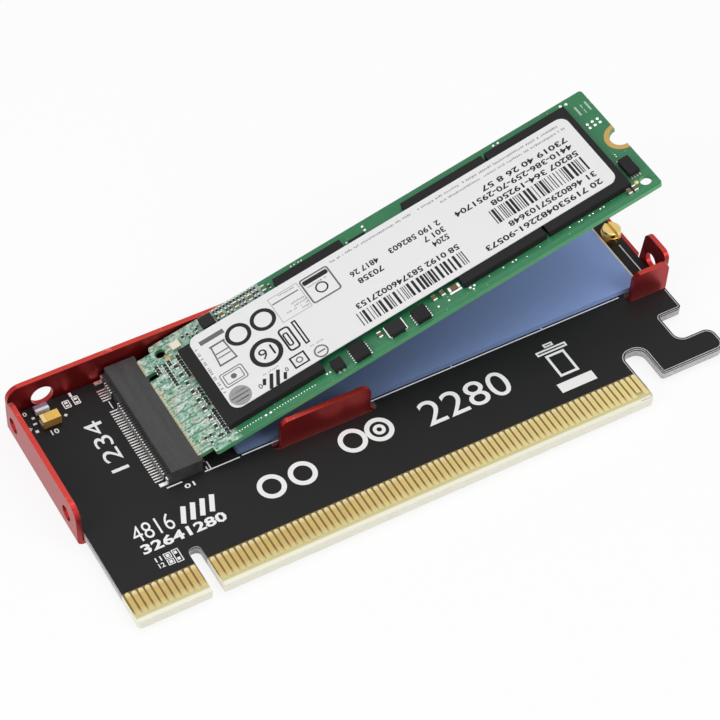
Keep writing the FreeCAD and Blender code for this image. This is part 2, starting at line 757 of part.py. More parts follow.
terminals = new_body("tantalum_terminals", "tantalum capacitor terminals")
terminal_span = ("tantalum_front + terminal_inset", "tantalum_width - 2 * terminal_inset")
prism(terminals, "terminal_left", "XZ", [[
    ("tantalum_left - terminal_thickness", "board_top"),
    ("tantalum_left + terminal_foot", "board_top"),
    ("tantalum_left + terminal_foot", "board_top + terminal_thickness"),
    ("tantalum_left", "board_top + terminal_thickness"),
    ("tantalum_left", "board_top + terminal_height"),
    ("tantalum_left - terminal_thickness", "board_top + terminal_height"),
]], *terminal_span)
prism(terminals, "terminal_right", "XZ", [[
    ("tantalum_left + tantalum_length - terminal_foot", "board_top"),
    ("tantalum_left + tantalum_length + terminal_thickness", "board_top"),
    ("tantalum_left + tantalum_length + terminal_thickness", "board_top + terminal_height"),
    ("tantalum_left + tantalum_length", "board_top + terminal_height"),
    ("tantalum_left + tantalum_length", "board_top + terminal_thickness"),
    ("tantalum_left + tantalum_length - terminal_foot", "board_top + terminal_thickness"),
]], *terminal_span)
seat(terminals, "card")

led = new_body("power_led", "power light")
prism(led, "led_case", "XY", [
    rectangle("led_left", "led_front", "led_left + led_length", "led_front + led_width")],
      "board_top", "led_height")
seat(led, "card")

# ---- drive ----
drive = new_body("drive_board", "drive board")
tongue_low = "(drive_width - drive_tongue_width) / 2"
tongue_high = "(drive_width + drive_tongue_width) / 2"
key_low = "drive_key_centre - drive_key_width / 2"
key_high = "drive_key_centre + drive_key_width / 2"
prism(drive, "drive_plate", "XY", [[
    ("0", tongue_low, "drive_corner"),
    ("drive_tongue_length", tongue_low),
    ("drive_tongue_length", "0", "drive_corner"),
    ("drive_length", "0", "drive_corner"),
    ("drive_length", "drive_width", "drive_corner"),
    ("drive_tongue_length", "drive_width", "drive_corner"),
    ("drive_tongue_length", tongue_high),
    ("0", tongue_high, "drive_corner"),
    ("0", key_high),
    ("drive_key_depth", key_high, "drive_key_width * slot_roundness"),
    ("drive_key_depth", key_low, "drive_key_width * slot_roundness"),
    ("0", key_low),
]], "0", "drive_thickness")
prism(drive, "drive_holes", "XY", [
    ("circle", "drive_length", "drive_width / 2", "hold_notch_diameter / 2"),
    ("circle", "drive_length - corner_hole_inset", "corner_hole_v", "corner_hole_diameter / 2"),
    ("circle", "tool_hole_u", "tool_hole_v", "tool_hole_diameter / 2"),
], "-overcut", "drive_thickness + 2 * overcut", cut=True)
seat(drive, "drive")

TOP_PADS = [("long", "pad_first", "contact_count"), ("short", "pad_second", "contact_count_short")]
LOW_PADS = [("long", "pad_first + contact_pitch / 2", "front_count"),
            ("short", "pad_second + contact_pitch / 2", "front_count_short")]
for name, label, height, rows in (
        ("drive_contacts_top", "drive contacts, top", "drive_thickness", TOP_PADS),
        ("drive_contacts_bottom", "drive contacts, underside", "-pad_plating", LOW_PADS)):
    contacts = new_body(name, label)
    for part, first, count in rows:
        pad = prism(contacts, name + "_" + part, "XY", [
            rectangle("pad_inset", first + " - pad_width / 2", "pad_inset + pad_length",
                      first + " + pad_width / 2")], height, "pad_plating")
        repeat(contacts, name + "_row_" + part, [pad], "Y_Axis", count, "contact_pitch")
    seat(contacts, "drive")


def chips(name, label, places, height):
    """Blocks standing on the drive's board, one solid for each (left, front, length, width)."""
    body = new_body(name, label)
    prism(body, name + "_blocks", "XY", [
        rectangle(left, front, "%s + %s" % (left, length), "%s + %s" % (front, width))
        for left, front, length, width in places], "drive_thickness", height)
    seat(body, "drive")


chips("controller_chip", "controller chip", [
    ("controller_u", "controller_v", "controller_side", "controller_side")], "chip_height")
chips("dram_chip", "buffer memory chip", [("dram_u", "dram_v", "dram_length", "dram_width")], "chip_height")
chips("memory_chip_1", "memory chip 1", [
    ("memory_u", "memory_v", "memory_length", "memory_width")], "chip_height")
chips("memory_chip_2", "memory chip 2", [
    ("memory_u + memory_length + memory_gap", "memory_v", "memory_length", "memory_width")], "chip_height")

label_sheet = new_body("drive_label", "drive label")
prism(label_sheet, "label_sheet", "XY", [
    rectangle("label_u", "label_v", "label_u + label_length", "label_v + label_width", "label_corner")],
      "drive_thickness + chip_height", "label_thickness")
seat(label_sheet, "drive")

# Small parts on the drive: left and front on its board, then length and width.
chips("regulator_chip", "regulator chip", [("37.4", "16.6", "2.8", "2.8")], "small_chip_height")
chips("power_chips", "power chips", [
    ("24.5", "0.9", "1.8", "1.8"),
    ("27.9", "0.5", "2.4", "2.8"),
    ("38.35", "0.65", "2.25", "2.35")], "small_chip_height")
chips("drive_inductors", "drive inductors", [
    ("33.9", "1.0", "2.7", "2.0"),
    ("12.4", "19.1", "coil_side", "coil_side")], "coil_height")
chips("crystal", "crystal", [("6.95", "19.0", "1.45", "1.3")], "capacitor_height")
chips("drive_capacitors", "drive capacitors", [
    (left, front, "capacitor_width", "capacitor_length")
    for left, front in (("32.6", "2.0"), ("42.2", "2.6"), ("43.6", "2.6"), ("15.6", "19.6"), ("18.1", "19.8"),
                        ("20.4", "19.6"), ("22.8", "19.8"), ("74.85", "0.9"), ("75.85", "0.9"))]
      + [("44.8", "2.5", "1.8", "0.8")], "capacitor_height")

resistors = new_body("drive_resistors", "drive resistors")
first_resistor = prism(resistors, "resistor", "XY", [
    rectangle("resistor_u", "resistor_v", "resistor_u + resistor_width", "resistor_v + resistor_length")],
    "drive_thickness", "resistor_height")
repeat(resistors, "resistor_column", [first_resistor], "Y_Axis", "resistor_count", "resistor_pitch")
seat(resistors, "drive")

edge_chip = new_body("edge_chip", "eight-lead chip")
prism(edge_chip, "edge_chip_case", "XY", [
    rectangle("edge_chip_u", "edge_chip_v", "edge_chip_u + edge_chip_length",
              "edge_chip_v + edge_chip_width")],
      "drive_thickness + lead_thickness", "small_chip_height - lead_thickness")
seat(edge_chip, "drive")

leads = new_body("edge_chip_leads", "eight-lead chip's leads")
lead_left = "edge_chip_u + (edge_chip_length - lead_width - (lead_count - 1) * lead_pitch) / 2"
lead = prism(leads, "lead_pair", "XY", [
    rectangle(lead_left, "edge_chip_v - lead_length", lead_left + " + lead_width",
              "edge_chip_v + lead_overlap"),
    rectangle(lead_left, "edge_chip_v + edge_chip_width - lead_overlap", lead_left + " + lead_width",
              "edge_chip_v + edge_chip_width + lead_length"),
], "drive_thickness", "lead_thickness")
repeat(leads, "lead_row", [lead], "X_Axis", "lead_count", "lead_pitch")
seat(leads, "drive")

# ---- hand-over ----
os.makedirs("parts", exist_ok=True)
for item in doc.Objects:
    if "Invalid" in item.State or "Error" in item.State:
        raise RuntimeError("%s did not build" % item.Name)
for node in NODES:
    checked(node)
    node.Shape.exportStep("parts/%s.step" % node.Name)
    print("%-24s %3d solids %10.3f mm3" % (node.Name, len(node.Shape.Solids), node.Shape.Volume))
print("parts written: %d" % len(NODES))
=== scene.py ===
import json
import math
import random
import bpy
from mathutils import Matrix, Vector


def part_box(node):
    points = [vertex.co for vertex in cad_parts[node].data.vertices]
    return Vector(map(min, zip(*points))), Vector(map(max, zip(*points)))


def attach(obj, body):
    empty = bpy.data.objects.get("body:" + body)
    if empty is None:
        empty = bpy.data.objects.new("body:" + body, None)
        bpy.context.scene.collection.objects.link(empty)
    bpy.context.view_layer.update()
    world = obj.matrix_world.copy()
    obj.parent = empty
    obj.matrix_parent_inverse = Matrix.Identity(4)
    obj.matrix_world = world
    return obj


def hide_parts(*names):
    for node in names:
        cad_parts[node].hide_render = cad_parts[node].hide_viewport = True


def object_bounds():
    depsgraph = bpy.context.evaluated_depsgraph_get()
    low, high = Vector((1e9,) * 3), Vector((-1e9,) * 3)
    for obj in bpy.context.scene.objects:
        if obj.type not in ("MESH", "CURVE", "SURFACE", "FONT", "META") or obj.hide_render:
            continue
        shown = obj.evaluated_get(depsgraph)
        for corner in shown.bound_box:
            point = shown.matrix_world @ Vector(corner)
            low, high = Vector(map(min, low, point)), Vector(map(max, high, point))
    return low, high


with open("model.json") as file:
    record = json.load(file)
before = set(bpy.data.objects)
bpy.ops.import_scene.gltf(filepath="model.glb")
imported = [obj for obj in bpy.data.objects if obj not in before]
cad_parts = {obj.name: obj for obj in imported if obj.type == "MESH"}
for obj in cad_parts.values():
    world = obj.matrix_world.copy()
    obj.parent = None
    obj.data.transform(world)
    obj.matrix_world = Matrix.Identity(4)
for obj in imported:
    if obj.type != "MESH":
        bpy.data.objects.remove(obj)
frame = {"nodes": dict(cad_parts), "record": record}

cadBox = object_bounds()
nodes = frame["nodes"]
card = "card"
drive = "drive"
mm = 0.001
print("frame loaded: %d nodes" % len(nodes))

# places, all worked out from the frame
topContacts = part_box("edge_contacts_top")
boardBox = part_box("adapter_board")
fingerHalf = 0.35 * mm      # half a contact's width
# the card's own axes: x along the contacts from the first, y from their tops, z from the board's face
cardPlace = (Matrix.Translation((topContacts[0].x + fingerHalf, topContacts[1].y, boardBox[1].z))
             @ Matrix.Scale(mm, 4))

driveSeat = {"tilt": 15.0, "pivotAlong": 0.45, "pivotAcross": 11.0, "pivotUp": 0.4,
             "thickness": 0.8, "chipHeight": 1.2, "labelHeight": 0.1}
driveTop = driveSeat["thickness"]
hinge = next(joint for joint in frame["record"]["behaviour"]["joints"] if joint["name"] == "drive_tilt")
# the drive's own axes: x from its contact end, y from its front edge, z from its underside
drivePlace = (Matrix.Translation(hinge["pos_m"])
              @ Matrix.Rotation(-math.radians(driveSeat["tilt"]), 4, "Y")
              @ Matrix.Scale(mm, 4)
              @ Matrix.Translation((-driveSeat["pivotAlong"], -driveSeat["pivotAcross"], -driveSeat["pivotUp"])))

def mode(name):
    bpy.ops.object.mode_set(mode=name)

def pick(action="SELECT"):
    bpy.ops.mesh.select_all(action=action)

def deselect():
    if bpy.context.object and bpy.context.object.mode != "OBJECT":
        mode("OBJECT")
    bpy.ops.object.select_all(action="DESELECT")

def only(piece):
    deselect()
    piece.select_set(True)
    bpy.context.view_layer.objects.active = piece

class Wire:
    # a socket that takes part in sums
    def __init__(self, graph, socket):
        self.graph = graph
        self.socket = socket

    def maths(self, operation, *values):
        return self.graph.node("ShaderNodeMath", {"operation": operation}, list(values))

    def __add__(self, other):
        return self.maths("ADD", self, other)

    def __sub__(self, other):
        return self.maths("SUBTRACT", self, other)

    def __rsub__(self, other):
        return self.maths("SUBTRACT", other, self)

    def __mul__(self, other):
        return self.maths("MULTIPLY", self, other)

    def __abs__(self):
        return self.maths("ABSOLUTE", self)

    def __lt__(self, other):
        return self.maths("LESS_THAN", self, other)

    def __gt__(self, other):
        return self.maths("GREATER_THAN", self, other)

    def most(self, other):
        return self.maths("MAXIMUM", self, other)

    def wave(self):
        return self.maths("SINE", self)

class Graph:
    # the nodes of one material or world
    def __init__(self, tree):
        self.tree = tree

    def node(self, kind, settings, values, output=0):
        # the settings come first, then the values or links of the sockets
        made = self.tree.nodes.new(kind)
        for key, value in settings.items():
            if key == "steps":
                self.fillRamp(made.color_ramp, value)
            else:
                setattr(made, key, value)
        pairs = enumerate(values) if isinstance(values, list) else values.items()
        for key, value in pairs:
            socket = made.inputs[key]
            if isinstance(value, Wire):
                self.join(value, socket)
            elif isinstance(value, tuple) and socket.type == "RGBA":
                socket.default_value = (*value, 1)
            else:
                socket.default_value = value
        return Wire(self, made.outputs[output])

    def fillRamp(self, ramp, steps):
        # hard steps of colour, each from its place onwards
        ramp.interpolation = "CONSTANT"
        for index, (place, colour) in enumerate(steps):
            stop = ramp.elements[index] if index < 2 else ramp.elements.new(place)
            stop.position = place
            stop.color = (*colour, 1)

    def join(self, wire, socket):
        self.tree.links.new(wire.socket, socket)

    def outputs(self, wire):
        # all outputs of the node that a wire comes from
        return [Wire(self, socket) for socket in wire.socket.node.outputs]

class Finish(Graph):
    # a material on the Principled shader, with what stays the same all over set on its own sockets
    def __init__(self, name, colour, rough, metal=0.0, coat=0.0, coatRough=0.1, gloss=0.3):
        self.material = bpy.data.materials.new(name)
        self.material.use_nodes = True
        super().__init__(self.material.node_tree)
        self.shader = self.tree.nodes["Principled BSDF"]
        for key, value in (("Base Color", (*colour, 1)), ("Roughness", rough), ("Metallic", metal),
                           ("Coat Weight", coat), ("Coat Roughness", coatRough), ("Specular IOR Level", gloss)):
            self.shader.inputs[key].default_value = value
        self.objectSpace = self.node("ShaderNodeTexCoord", {}, {}, "Object")
        self.facing = self.node("ShaderNodeTexCoord", {}, {}, "Normal")

    def set(self, name, wire):
        self.join(wire, self.shader.inputs[name])

    def axes(self, vector=None):
        return self.outputs(self.node("ShaderNodeSeparateXYZ", {}, [vector or self.objectSpace]))

    def noise(self, scale, detail=2.0, vector=None, rough=0.5):
        values = {"Vector": vector or self.objectSpace, "Scale": scale, "Detail": detail, "Roughness": rough}
        return self.node("ShaderNodeTexNoise", {}, values)

    def cells(self, scale, vector):
        # a random colour in each square cell
        values = {"Vector": vector, "Scale": scale}
        return self.node("ShaderNodeTexVoronoi", {"distance": "CHEBYCHEV"}, values, "Color")

    def stretched(self, vector, scale):
        return self.node("ShaderNodeMapping", {}, {"Vector": vector, "Scale": scale})

    def spread(self, wire, low, high):
        # a 0 to 1 value spread over low to high
        return wire * (high - low) + low

    def slope(self, wire, start, end, first, last):
        # first up to the start, last from the end, and even between them
        return self.node("ShaderNodeMapRange", {}, [wire, start, end, first, last])

    def blend(self, factor, first, second):
        return self.node("ShaderNodeMix", {"data_type": "RGBA"}, {0: factor, 6: first, 7: second}, 2)

    def lay(self, colour, grain, rough, height, strength, distance=0.00003):
        # the last step of a finish: its colour, its roughness over the grain, and its bumps
        self.set("Base Color", colour)
        self.set("Roughness", self.spread(grain, *rough))
        self.bump(height, strength, distance)
        return self

    def bump(self, height, strength, distance=0.00003):
        values = {"Height": height, "Strength": strength, "Distance": distance}
        self.set("Normal", self.node("ShaderNodeBump", {}, values))

    def inDrive(self):
        # object coordinates turned into the drive's own axes, in millimetres
        place = drivePlace.to_translation()
        turn = (0, -math.radians(driveSeat["tilt"]), 0)
        values = {"Vector": self.objectSpace, "Location": place, "Rotation": turn, "Scale": (mm, mm, mm)}
        return self.node("ShaderNodeMapping", {"vector_type": "TEXTURE"}, values)

def scaled(colour, share):
    return tuple(min(1.0, value * share) for value in colour)

def grained(name, colour, rough, metal=0.0, scale=1500, depth=0.2, shade=0.12, gloss=0.3):
    # a plain finish with a fine grain in its colour, roughness and surface
    finish = Finish(name, colour, rough, metal, gloss=gloss)
    grain = finish.noise(scale, 3.0)
    broad = finish.noise(scale / 14, 2.0)
    body = finish.blend(broad * 0.6 + grain * 0.4, scaled(colour, 1 - shade), scaled(colour, 1 + shade))
    return finish.lay(body, grain, (rough * 0.85, min(1.0, rough * 1.2)), grain, depth)

# edge is a painted highlight along the walls' cut top edges; rubbed is worn metal on that edge
trayLook = {"face": (0.42, 0.016, 0.016), "cloud": 0.84, "metal": 0.88,
            "edge": (0.52, 0.036, 0.026), "rubbed": (0.66, 0.13, 0.09), "rubbedFrom": 0.62, "edgeHighlightDeep": 0.05}

def trayFinish():
    finish = Finish("redAnodised", trayLook["face"], 0.38, trayLook["metal"], 0.32, 0.36, 0.5)
    grain = finish.noise(2600, 3.0)
    cloud = finish.noise(120, 2.0)
    scuff = finish.noise(420, 5.0, rough=0.7)
    z = finish.axes()[2]
    # the cut edges at the top of the walls get a painted highlight, and are rubbed in places
    rim = z > (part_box("tray")[1].z - trayLook["edgeHighlightDeep"] * mm)
    face = finish.blend(cloud, scaled(trayLook["face"], trayLook["cloud"]), trayLook["face"])
    edge = finish.blend(scuff > trayLook["rubbedFrom"], trayLook["edge"], trayLook["rubbed"])
    body = finish.blend(rim, face, edge)
    return finish.lay(body, grain, (0.32, 0.46), grain + scuff * 0.4, 0.25, 0.00002)

boardLook = {
    "mask": (0.0095, 0.0095, 0.010), "weave": (0.0135, 0.0135, 0.014),
    # bare glass-epoxy below the contacts, between them, and where the tongue's end is worn
    "bare": (0.62, 0.57, 0.29), "gap": (0.22, 0.155, 0.055), "cream": (0.93, 0.91, 0.79),
    "layer": (0.56, 0.54, 0.40),
    "bareBand": 0.15, "gapFrom": 0.1, "gapTo": 1.1, "wornFrom": 0.54, "wornTo": 0.30, "wornShare": 0.85,
    "tonguePast": 0.7, "layers": 16000,
    # round the hook: a rim line that is a painted highlight, a dark line and rough grey
    "rim": (0.72, 0.72, 0.72), "dark": (0.05, 0.05, 0.05), "roughLow": (0.20, 0.20, 0.20),
    "roughHigh": (0.86, 0.86, 0.86), "highlightDeep": 0.16, "darkDeep": 0.42,
}

def boardFinish():
    # black mask on both faces, bare glass-epoxy along the contacts, pale cut edges with faint layers
    finish = Finish("blackBoard", boardLook["mask"], 0.46, 0.0, 0.0, 0.22, 0.16)
    x, y, z = finish.axes()
    nz = finish.axes(finish.facing)[2]
    grain = finish.noise(1800, 3.0)
    cloud = finish.noise(160, 2.0)
    crumbs = finish.noise(2400, 6.0, rough=0.75)
    low, high = topContacts
    side = abs(nz) < 0.5
    bare = (y < (high.y + boardLook["bareBand"] * mm)) * (x < (high.x + boardLook["tonguePast"] * mm))
    mask = finish.blend(cloud * 0.6 + grain * 0.4, boardLook["mask"], boardLook["weave"])
    fade = finish.slope(y, low.y + boardLook["gapFrom"] * mm, low.y + boardLook["gapTo"] * mm, 0.0, 1.0)
    gap = finish.blend(fade, boardLook["bare"], boardLook["gap"])
    glass = finish.blend(y < low.y, gap, boardLook["bare"])
    worn = finish.slope(y, low.y - boardLook["wornFrom"] * mm, low.y - boardLook["wornTo"] * mm,
                        boardLook["wornShare"], 0.0)
    face = finish.blend(bare, mask, finish.blend(worn, glass, boardLook["cream"]))
    layers = finish.spread((z * boardLook["layers"]).wave(), 0.0, 0.12)
    tongueEdge = finish.blend(layers + crumbs * 0.35, boardLook["cream"], boardLook["layer"])
    deep = boardBox[1].z - z
    rough = finish.blend(crumbs, boardLook["roughLow"], boardLook["roughHigh"])
    lined = finish.blend(deep < boardLook["darkDeep"] * mm, rough, boardLook["dark"])
    # the rim colour along the top of the hook's cut edge is a painted highlight
    hookEdge = finish.blend(deep < boardLook["highlightDeep"] * mm, lined, boardLook["rim"])
    body = finish.blend(side, face, finish.blend(bare, hookEdge, tongueEdge))
    return finish.lay(body, grain, (0.40, 0.55), grain + cloud * 2 + crumbs * side, 0.16)

goldLook = {"colour": (0.56, 0.39, 0.125), "deep": (0.44, 0.295, 0.08), "patch": 0.8,
            "pale": (0.78, 0.70, 0.44), "paleFrom": 0.9, "paleTo": 0.1,
            "foot": (0.63, 0.56, 0.285), "footFrom": 0.1, "footTo": 1.3, "footShare": 0.75,
            # far is a brighter colour towards the far end, painted light
            "far": (0.88, 0.74, 0.33), "farFrom": 0.3, "farShare": 0.62}

def goldFinish(name, endPale):
    # duller in patches, worn paler towards the rounded ends, and brighter towards the far end, which is painted
    # light
    finish = Finish(name, goldLook["colour"], 0.5, 0.5, gloss=0.25)
    x, y = finish.axes()[:2]
    grain = finish.noise(1500, 2.0)
    patch = finish.noise(260, 2.0)
    low, high = topContacts
    top = finish.slope(y, high.y - goldLook["paleFrom"] * mm, high.y - goldLook["paleTo"] * mm, 0.0, endPale)
    foot = finish.slope(y, low.y + goldLook["footFrom"] * mm, low.y + goldLook["footTo"] * mm,
                        goldLook["footShare"], 0.0)
    # the far colour is painted light: the contacts get brighter along x
    far = finish.slope(x, low.x + goldLook["farFrom"] * (high.x - low.x), high.x, 0.0, goldLook["farShare"])
    body = finish.blend(patch * goldLook["patch"], goldLook["colour"], goldLook["deep"])
    body = finish.blend(foot, body, goldLook["foot"])
    body = finish.blend(far, body, goldLook["far"])
    body = finish.blend(top + grain * 0.2, body, goldLook["pale"])
    return finish.lay(body, grain, (0.44, 0.62), grain, 0.15, 0.00002)

housingLook = {"colour": (0.030, 0.030, 0.032), "dark": (0.012, 0.012, 0.013), "light": (0.078, 0.078, 0.080),
               "flow": (900, 160, 500)}

def housingFinish():
    # moulded black plastic with a fine sparkle and flow marks along it
    finish = Finish("socketBlack", housingLook["colour"], 0.55, gloss=0.35)
    grain = finish.noise(1600, 4.0)
    flow = finish.noise(1.0, 3.0, finish.stretched(finish.objectSpace, housingLook["flow"]))
    body = finish.blend(flow * 0.7 + grain * 0.3, housingLook["dark"], housingLook["light"])
    return finish.lay(body, flow, (0.42, 0.66), grain + flow, 0.3, 0.00004)

tailLook = {"colour": (0.72, 0.71, 0.69), "dark": (0.62, 0.61, 0.60), "light": (0.86, 0.85, 0.83),
            "inside": (0.10, 0.10, 0.105), "spare": 0.1}

def tailFinish(name):
    # bright solder on the tails, with painted shade where they climb into the housing
    finish = Finish(name, tailLook["colour"], 0.32, 0.8)
    x = finish.axes()[0]
    low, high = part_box("socket_housing")
    # the inside colour along the housing is painted shade in its slots
    inside = (x > (low.x - tailLook["spare"] * mm)) * (x < (high.x + tailLook["spare"] * mm))
    grain = finish.noise(1300, 2.0)
    bright = finish.blend(grain, tailLook["dark"], tailLook["light"])
    return finish.lay(finish.blend(inside, bright, tailLook["inside"]), grain, (0.25, 0.42), grain, 0.2)

# near is painted shade under the drive, and far is painted light
padLook = {"colour": (0.16, 0.24, 0.45), "near": (0.125, 0.18, 0.33), "far": (0.29, 0.41, 0.78), "farFrom": 0.3,
           "weave": 9000, "cut": (0.80, 0.70, 0.52), "cutWidth": 0.28}

def padFinish():
    # the pad is painted darker towards its near end as painted shade under the drive and paler towards its far end
    # as painted light, with a faint cloth texture and a cream cut edge at the far end
    finish = Finish("bluePad", padLook["colour"], 0.6, gloss=0.25)
    low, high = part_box("thermal_pad")
    x, y = finish.axes()[:2]
    along = finish.slope(x, low.x + padLook["farFrom"] * (high.x - low.x), high.x, 0.0, 1.0)
    grain = finish.noise(700, 2.0)
    weave = ((x + y) * padLook["weave"]).wave() * 0.5 + ((x - y) * padLook["weave"]).wave() * 0.5
    shadeAndWeave = finish.blend(along + grain * 0.10 + weave * 0.025, padLook["near"], padLook["far"])
    body = finish.blend(x > (high.x - padLook["cutWidth"] * mm), shadeAndWeave, padLook["cut"])
    return finish.lay(body, grain, (0.50, 0.70), grain + weave * 0.2, 0.14, 0.00004)

ledLook = {"case": (0.80, 0.80, 0.80), "base": (0.84, 0.84, 0.84), "lensFrom": 0.42,
           "lensDark": (0.17, 0.12, 0.19), "lensLight": (0.30, 0.24, 0.33)}

def ledFinish():
    # a white base with a mauve lens over its far part
    finish = Finish("ledCase", ledLook["case"], 0.35, coat=0.3)
    low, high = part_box("power_led")
    y = finish.axes()[1]
    grain = finish.noise(900, 2.0)
    lens = finish.blend(grain, ledLook["lensDark"], ledLook["lensLight"])
    lensed = y > (low.y + ledLook["lensFrom"] * (high.y - low.y))
    finish.set("Base Color", finish.blend(lensed, ledLook["base"], lens))
    finish.bump(grain, 0.1)
    return finish

amberLook = {"colour": (0.80, 0.47, 0.08), "dark": (0.74, 0.42, 0.06), "light": (0.92, 0.62, 0.16),
             "side": (0.36, 0.19, 0.035), "band": (0.95, 0.78, 0.35), "bandShare": 0.2}

def amberFinish():
    # orange moulded case, browner down its sides as painted shade, with a paler band at one end
    finish = Finish("amberCase", amberLook["colour"], 0.38, coat=0.25)
    low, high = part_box("tantalum_capacitor")
    x = finish.axes()[0]
    nz = finish.axes(finish.facing)[2]
    grain = finish.noise(1200, 3.0)
    top = finish.blend(grain, amberLook["dark"], amberLook["light"])
    band = finish.blend(x < (low.x + amberLook["bandShare"] * (high.x - low.x)), top, amberLook["band"])
    # faces that are not on top get the side colour, painted shade
    return finish.lay(finish.blend(nz > 0.5, amberLook["side"], band), grain, (0.3, 0.48), grain, 0.15)

driveLook = {
    "mask": (0.018, 0.145, 0.058), "trace": (0.040, 0.235, 0.100), "edge": (0.10, 0.36, 0.16),
    "via": (0.30, 0.52, 0.36), "viaSize": 0.10, "stripe": (0.045, 0.20, 0.11),
    # lines along the front edge, and how far the contact end and the worn back edge reach
    "hem": 1.15, "hemLines": 17, "paleEnd": 7.4, "fadeFrom": 1.6, "fadeTo": 0.6, "backFrom": 18.7, "backEnd": 22.8,
    # the contact end's large and small patches
    "large": [(0.0, (0.035, 0.19, 0.10)), (0.2, (0.22, 0.44, 0.32)), (0.42, (0.47, 0.58, 0.50)),
              (0.62, (0.30, 0.50, 0.39)), (0.78, (0.66, 0.70, 0.66)), (0.90, (0.46, 0.34, 0.21))],
    "small": [(0.0, (0.02, 0.10, 0.06)), (0.2, (0.26, 0.48, 0.36)), (0.5, (0.52, 0.62, 0.55)),
              (0.84, (0.84, 0.86, 0.82))],
}

def driveFinish():
    # green mask over traces; the contact end is a patchwork of bare pads, lines and vias
    finish = Finish("greenBoard", driveLook["mask"], 0.36, 0.0, 0.18, 0.18, 0.3)
    place = finish.inDrive()
    u, v, w = finish.axes(place)
    side = abs(finish.axes(finish.facing)[2]) < 0.5
    grain = finish.noise(0.9, 3.0, place)
    lines = finish.node("ShaderNodeTexWave", {"bands_direction": "Y"},
                        {"Vector": place, "Scale": 1.1, "Distortion": 3.5, "Detail": 2.0, "Detail Scale": 0.45})
    hemLines = ((v * driveLook["hemLines"]).wave() > 0.35) * (v < driveLook["hem"])
    trace = (lines > 0.74) * 0.8 + hemLines
    face = finish.blend(trace * 0.8 + grain * 0.35, driveLook["mask"], driveLook["trace"])
    vias = finish.node("ShaderNodeTexVoronoi", {"feature": "F1"}, {"Vector": place, "Scale": 0.9})
    face = finish.blend((vias < driveLook["viaSize"]) * 0.6, face, driveLook["via"])
    # the contact end
    coarse = finish.axes(finish.cells(1.25, finish.stretched(place, (1.0, 2.1, 1.0))))[0]
    fine = finish.axes(finish.cells(3.1, place))[0]
    large = finish.node("ShaderNodeValToRGB", {"steps": driveLook["large"]}, [coarse])
    small = finish.node("ShaderNodeValToRGB", {"steps": driveLook["small"]}, [fine])
    stripes = ((v * 4.2 + grain * 3).wave() > 0.86) * (u < driveLook["paleEnd"])
    patch = finish.blend(stripes * 0.75, finish.blend(0.45, large, small), driveLook["stripe"])
    near = finish.slope(u + grain * 1.2, driveLook["paleEnd"] + driveLook["fadeFrom"],
                        driveLook["paleEnd"] + driveLook["fadeTo"], 0.0, 1.0)
    near = near.most((v > driveLook["backFrom"]) * (u < driveLook["backEnd"]) * 0.8)
    upper = w > driveTop / 2
    face = finish.blend(near * upper, face, patch)
    height = trace * 0.6 + grain * 0.2 + fine * near * 0.5
    return finish.lay(finish.blend(side, face, driveLook["edge"]), grain, (0.28, 0.46), height, 0.3)

def chipFinish(name, colour=(0.0135, 0.0125, 0.013)):
    # dark moulding with a fine grain and faint broad clouding
    return grained(name, colour, 0.60, scale=1700, depth=0.35, shade=0.25, gloss=0.18)

def tinFinish(name):
    return grained(name, (0.82, 0.81, 0.78), 0.30, 0.85, scale=1200)

def inkFinish(name, colour, shade, gloss=0.15):
    return grained(name, colour, 0.6, shade=shade, gloss=gloss)

finishes = {
    "tray": trayFinish(),
    "adapter_board": boardFinish(),
    "edge_contacts_top": goldFinish("goldTop", 0.7),
    "edge_contacts_bottom": goldFinish("goldUnder", 0.3),
    "socket_housing": housingFinish(),
    "socket_rear_contacts": tailFinish("tinTails"),
    "socket_front_contacts": tailFinish("tinTailsFront"),
    "socket_anchors": tinFinish("tinAnchors"),
    "thermal_pad": padFinish(),
    "standoff": grained("postBrass", (0.72, 0.50, 0.20), 0.28, 1.0, depth=0.12),
    "drive_screw": grained("screwBrass", (0.88, 0.66, 0.25), 0.24, 1.0, depth=0.12),
    "tantalum_capacitor": amberFinish(),
    "tantalum_terminals": tinFinish("tinTerminals"),
    "power_led": ledFinish(),
    "drive_board": driveFinish(),
    "drive_contacts_top": grained("goldDriveTop", (0.55, 0.50, 0.32), 0.45, 0.5),
    "drive_contacts_bottom": goldFinish("goldDriveUnder", 0.0),
    "controller_chip": chipFinish("controllerBlack"),
    "dram_chip": chipFinish("bufferBlack"),
    "memory_chip_1": chipFinish("memoryBlackOne"),
    "memory_chip_2": chipFinish("memoryBlackTwo"),
    "drive_label": grained("labelPaper", (0.80, 0.80, 0.80), 0.55, scale=500, depth=0.06, shade=0.02, gloss=0.2),
    "regulator_chip": chipFinish("regulatorBlack"),
    "power_chips": chipFinish("powerBlack"),
    "drive_inductors": chipFinish("inductorGrey", (0.020, 0.019, 0.0195)),
    "crystal": grained("crystalLid", (0.74, 0.70, 0.58), 0.30, 0.9, scale=1300),
    "drive_capacitors": grained("capacitorBody", (0.17, 0.105, 0.05), 0.45),
    "drive_resistors": grained("resistorBody", (0.02, 0.02, 0.022), 0.40),
    "edge_chip": chipFinish("edgeChipBlack"),
    "edge_chip_leads": tinFinish("tinLeads"),
}
for name, finish in finishes.items():
    slots = nodes[name].material_slots
    for entry in slots:
        entry.material = finish.material
    if not slots:
        nodes[name].data.materials.append(finish.material)
whiteInk = inkFinish("whiteInk", (0.84, 0.84, 0.83), 0.06, 0.2)
blackInk = inkFinish("blackInk", (0.022, 0.022, 0.024), 0.2)
greyInk = inkFinish("greyInk", (0.15, 0.145, 0.155), 0.12)
paleInk = inkFinish("paleInk", (0.34, 0.34, 0.35), 0.12)
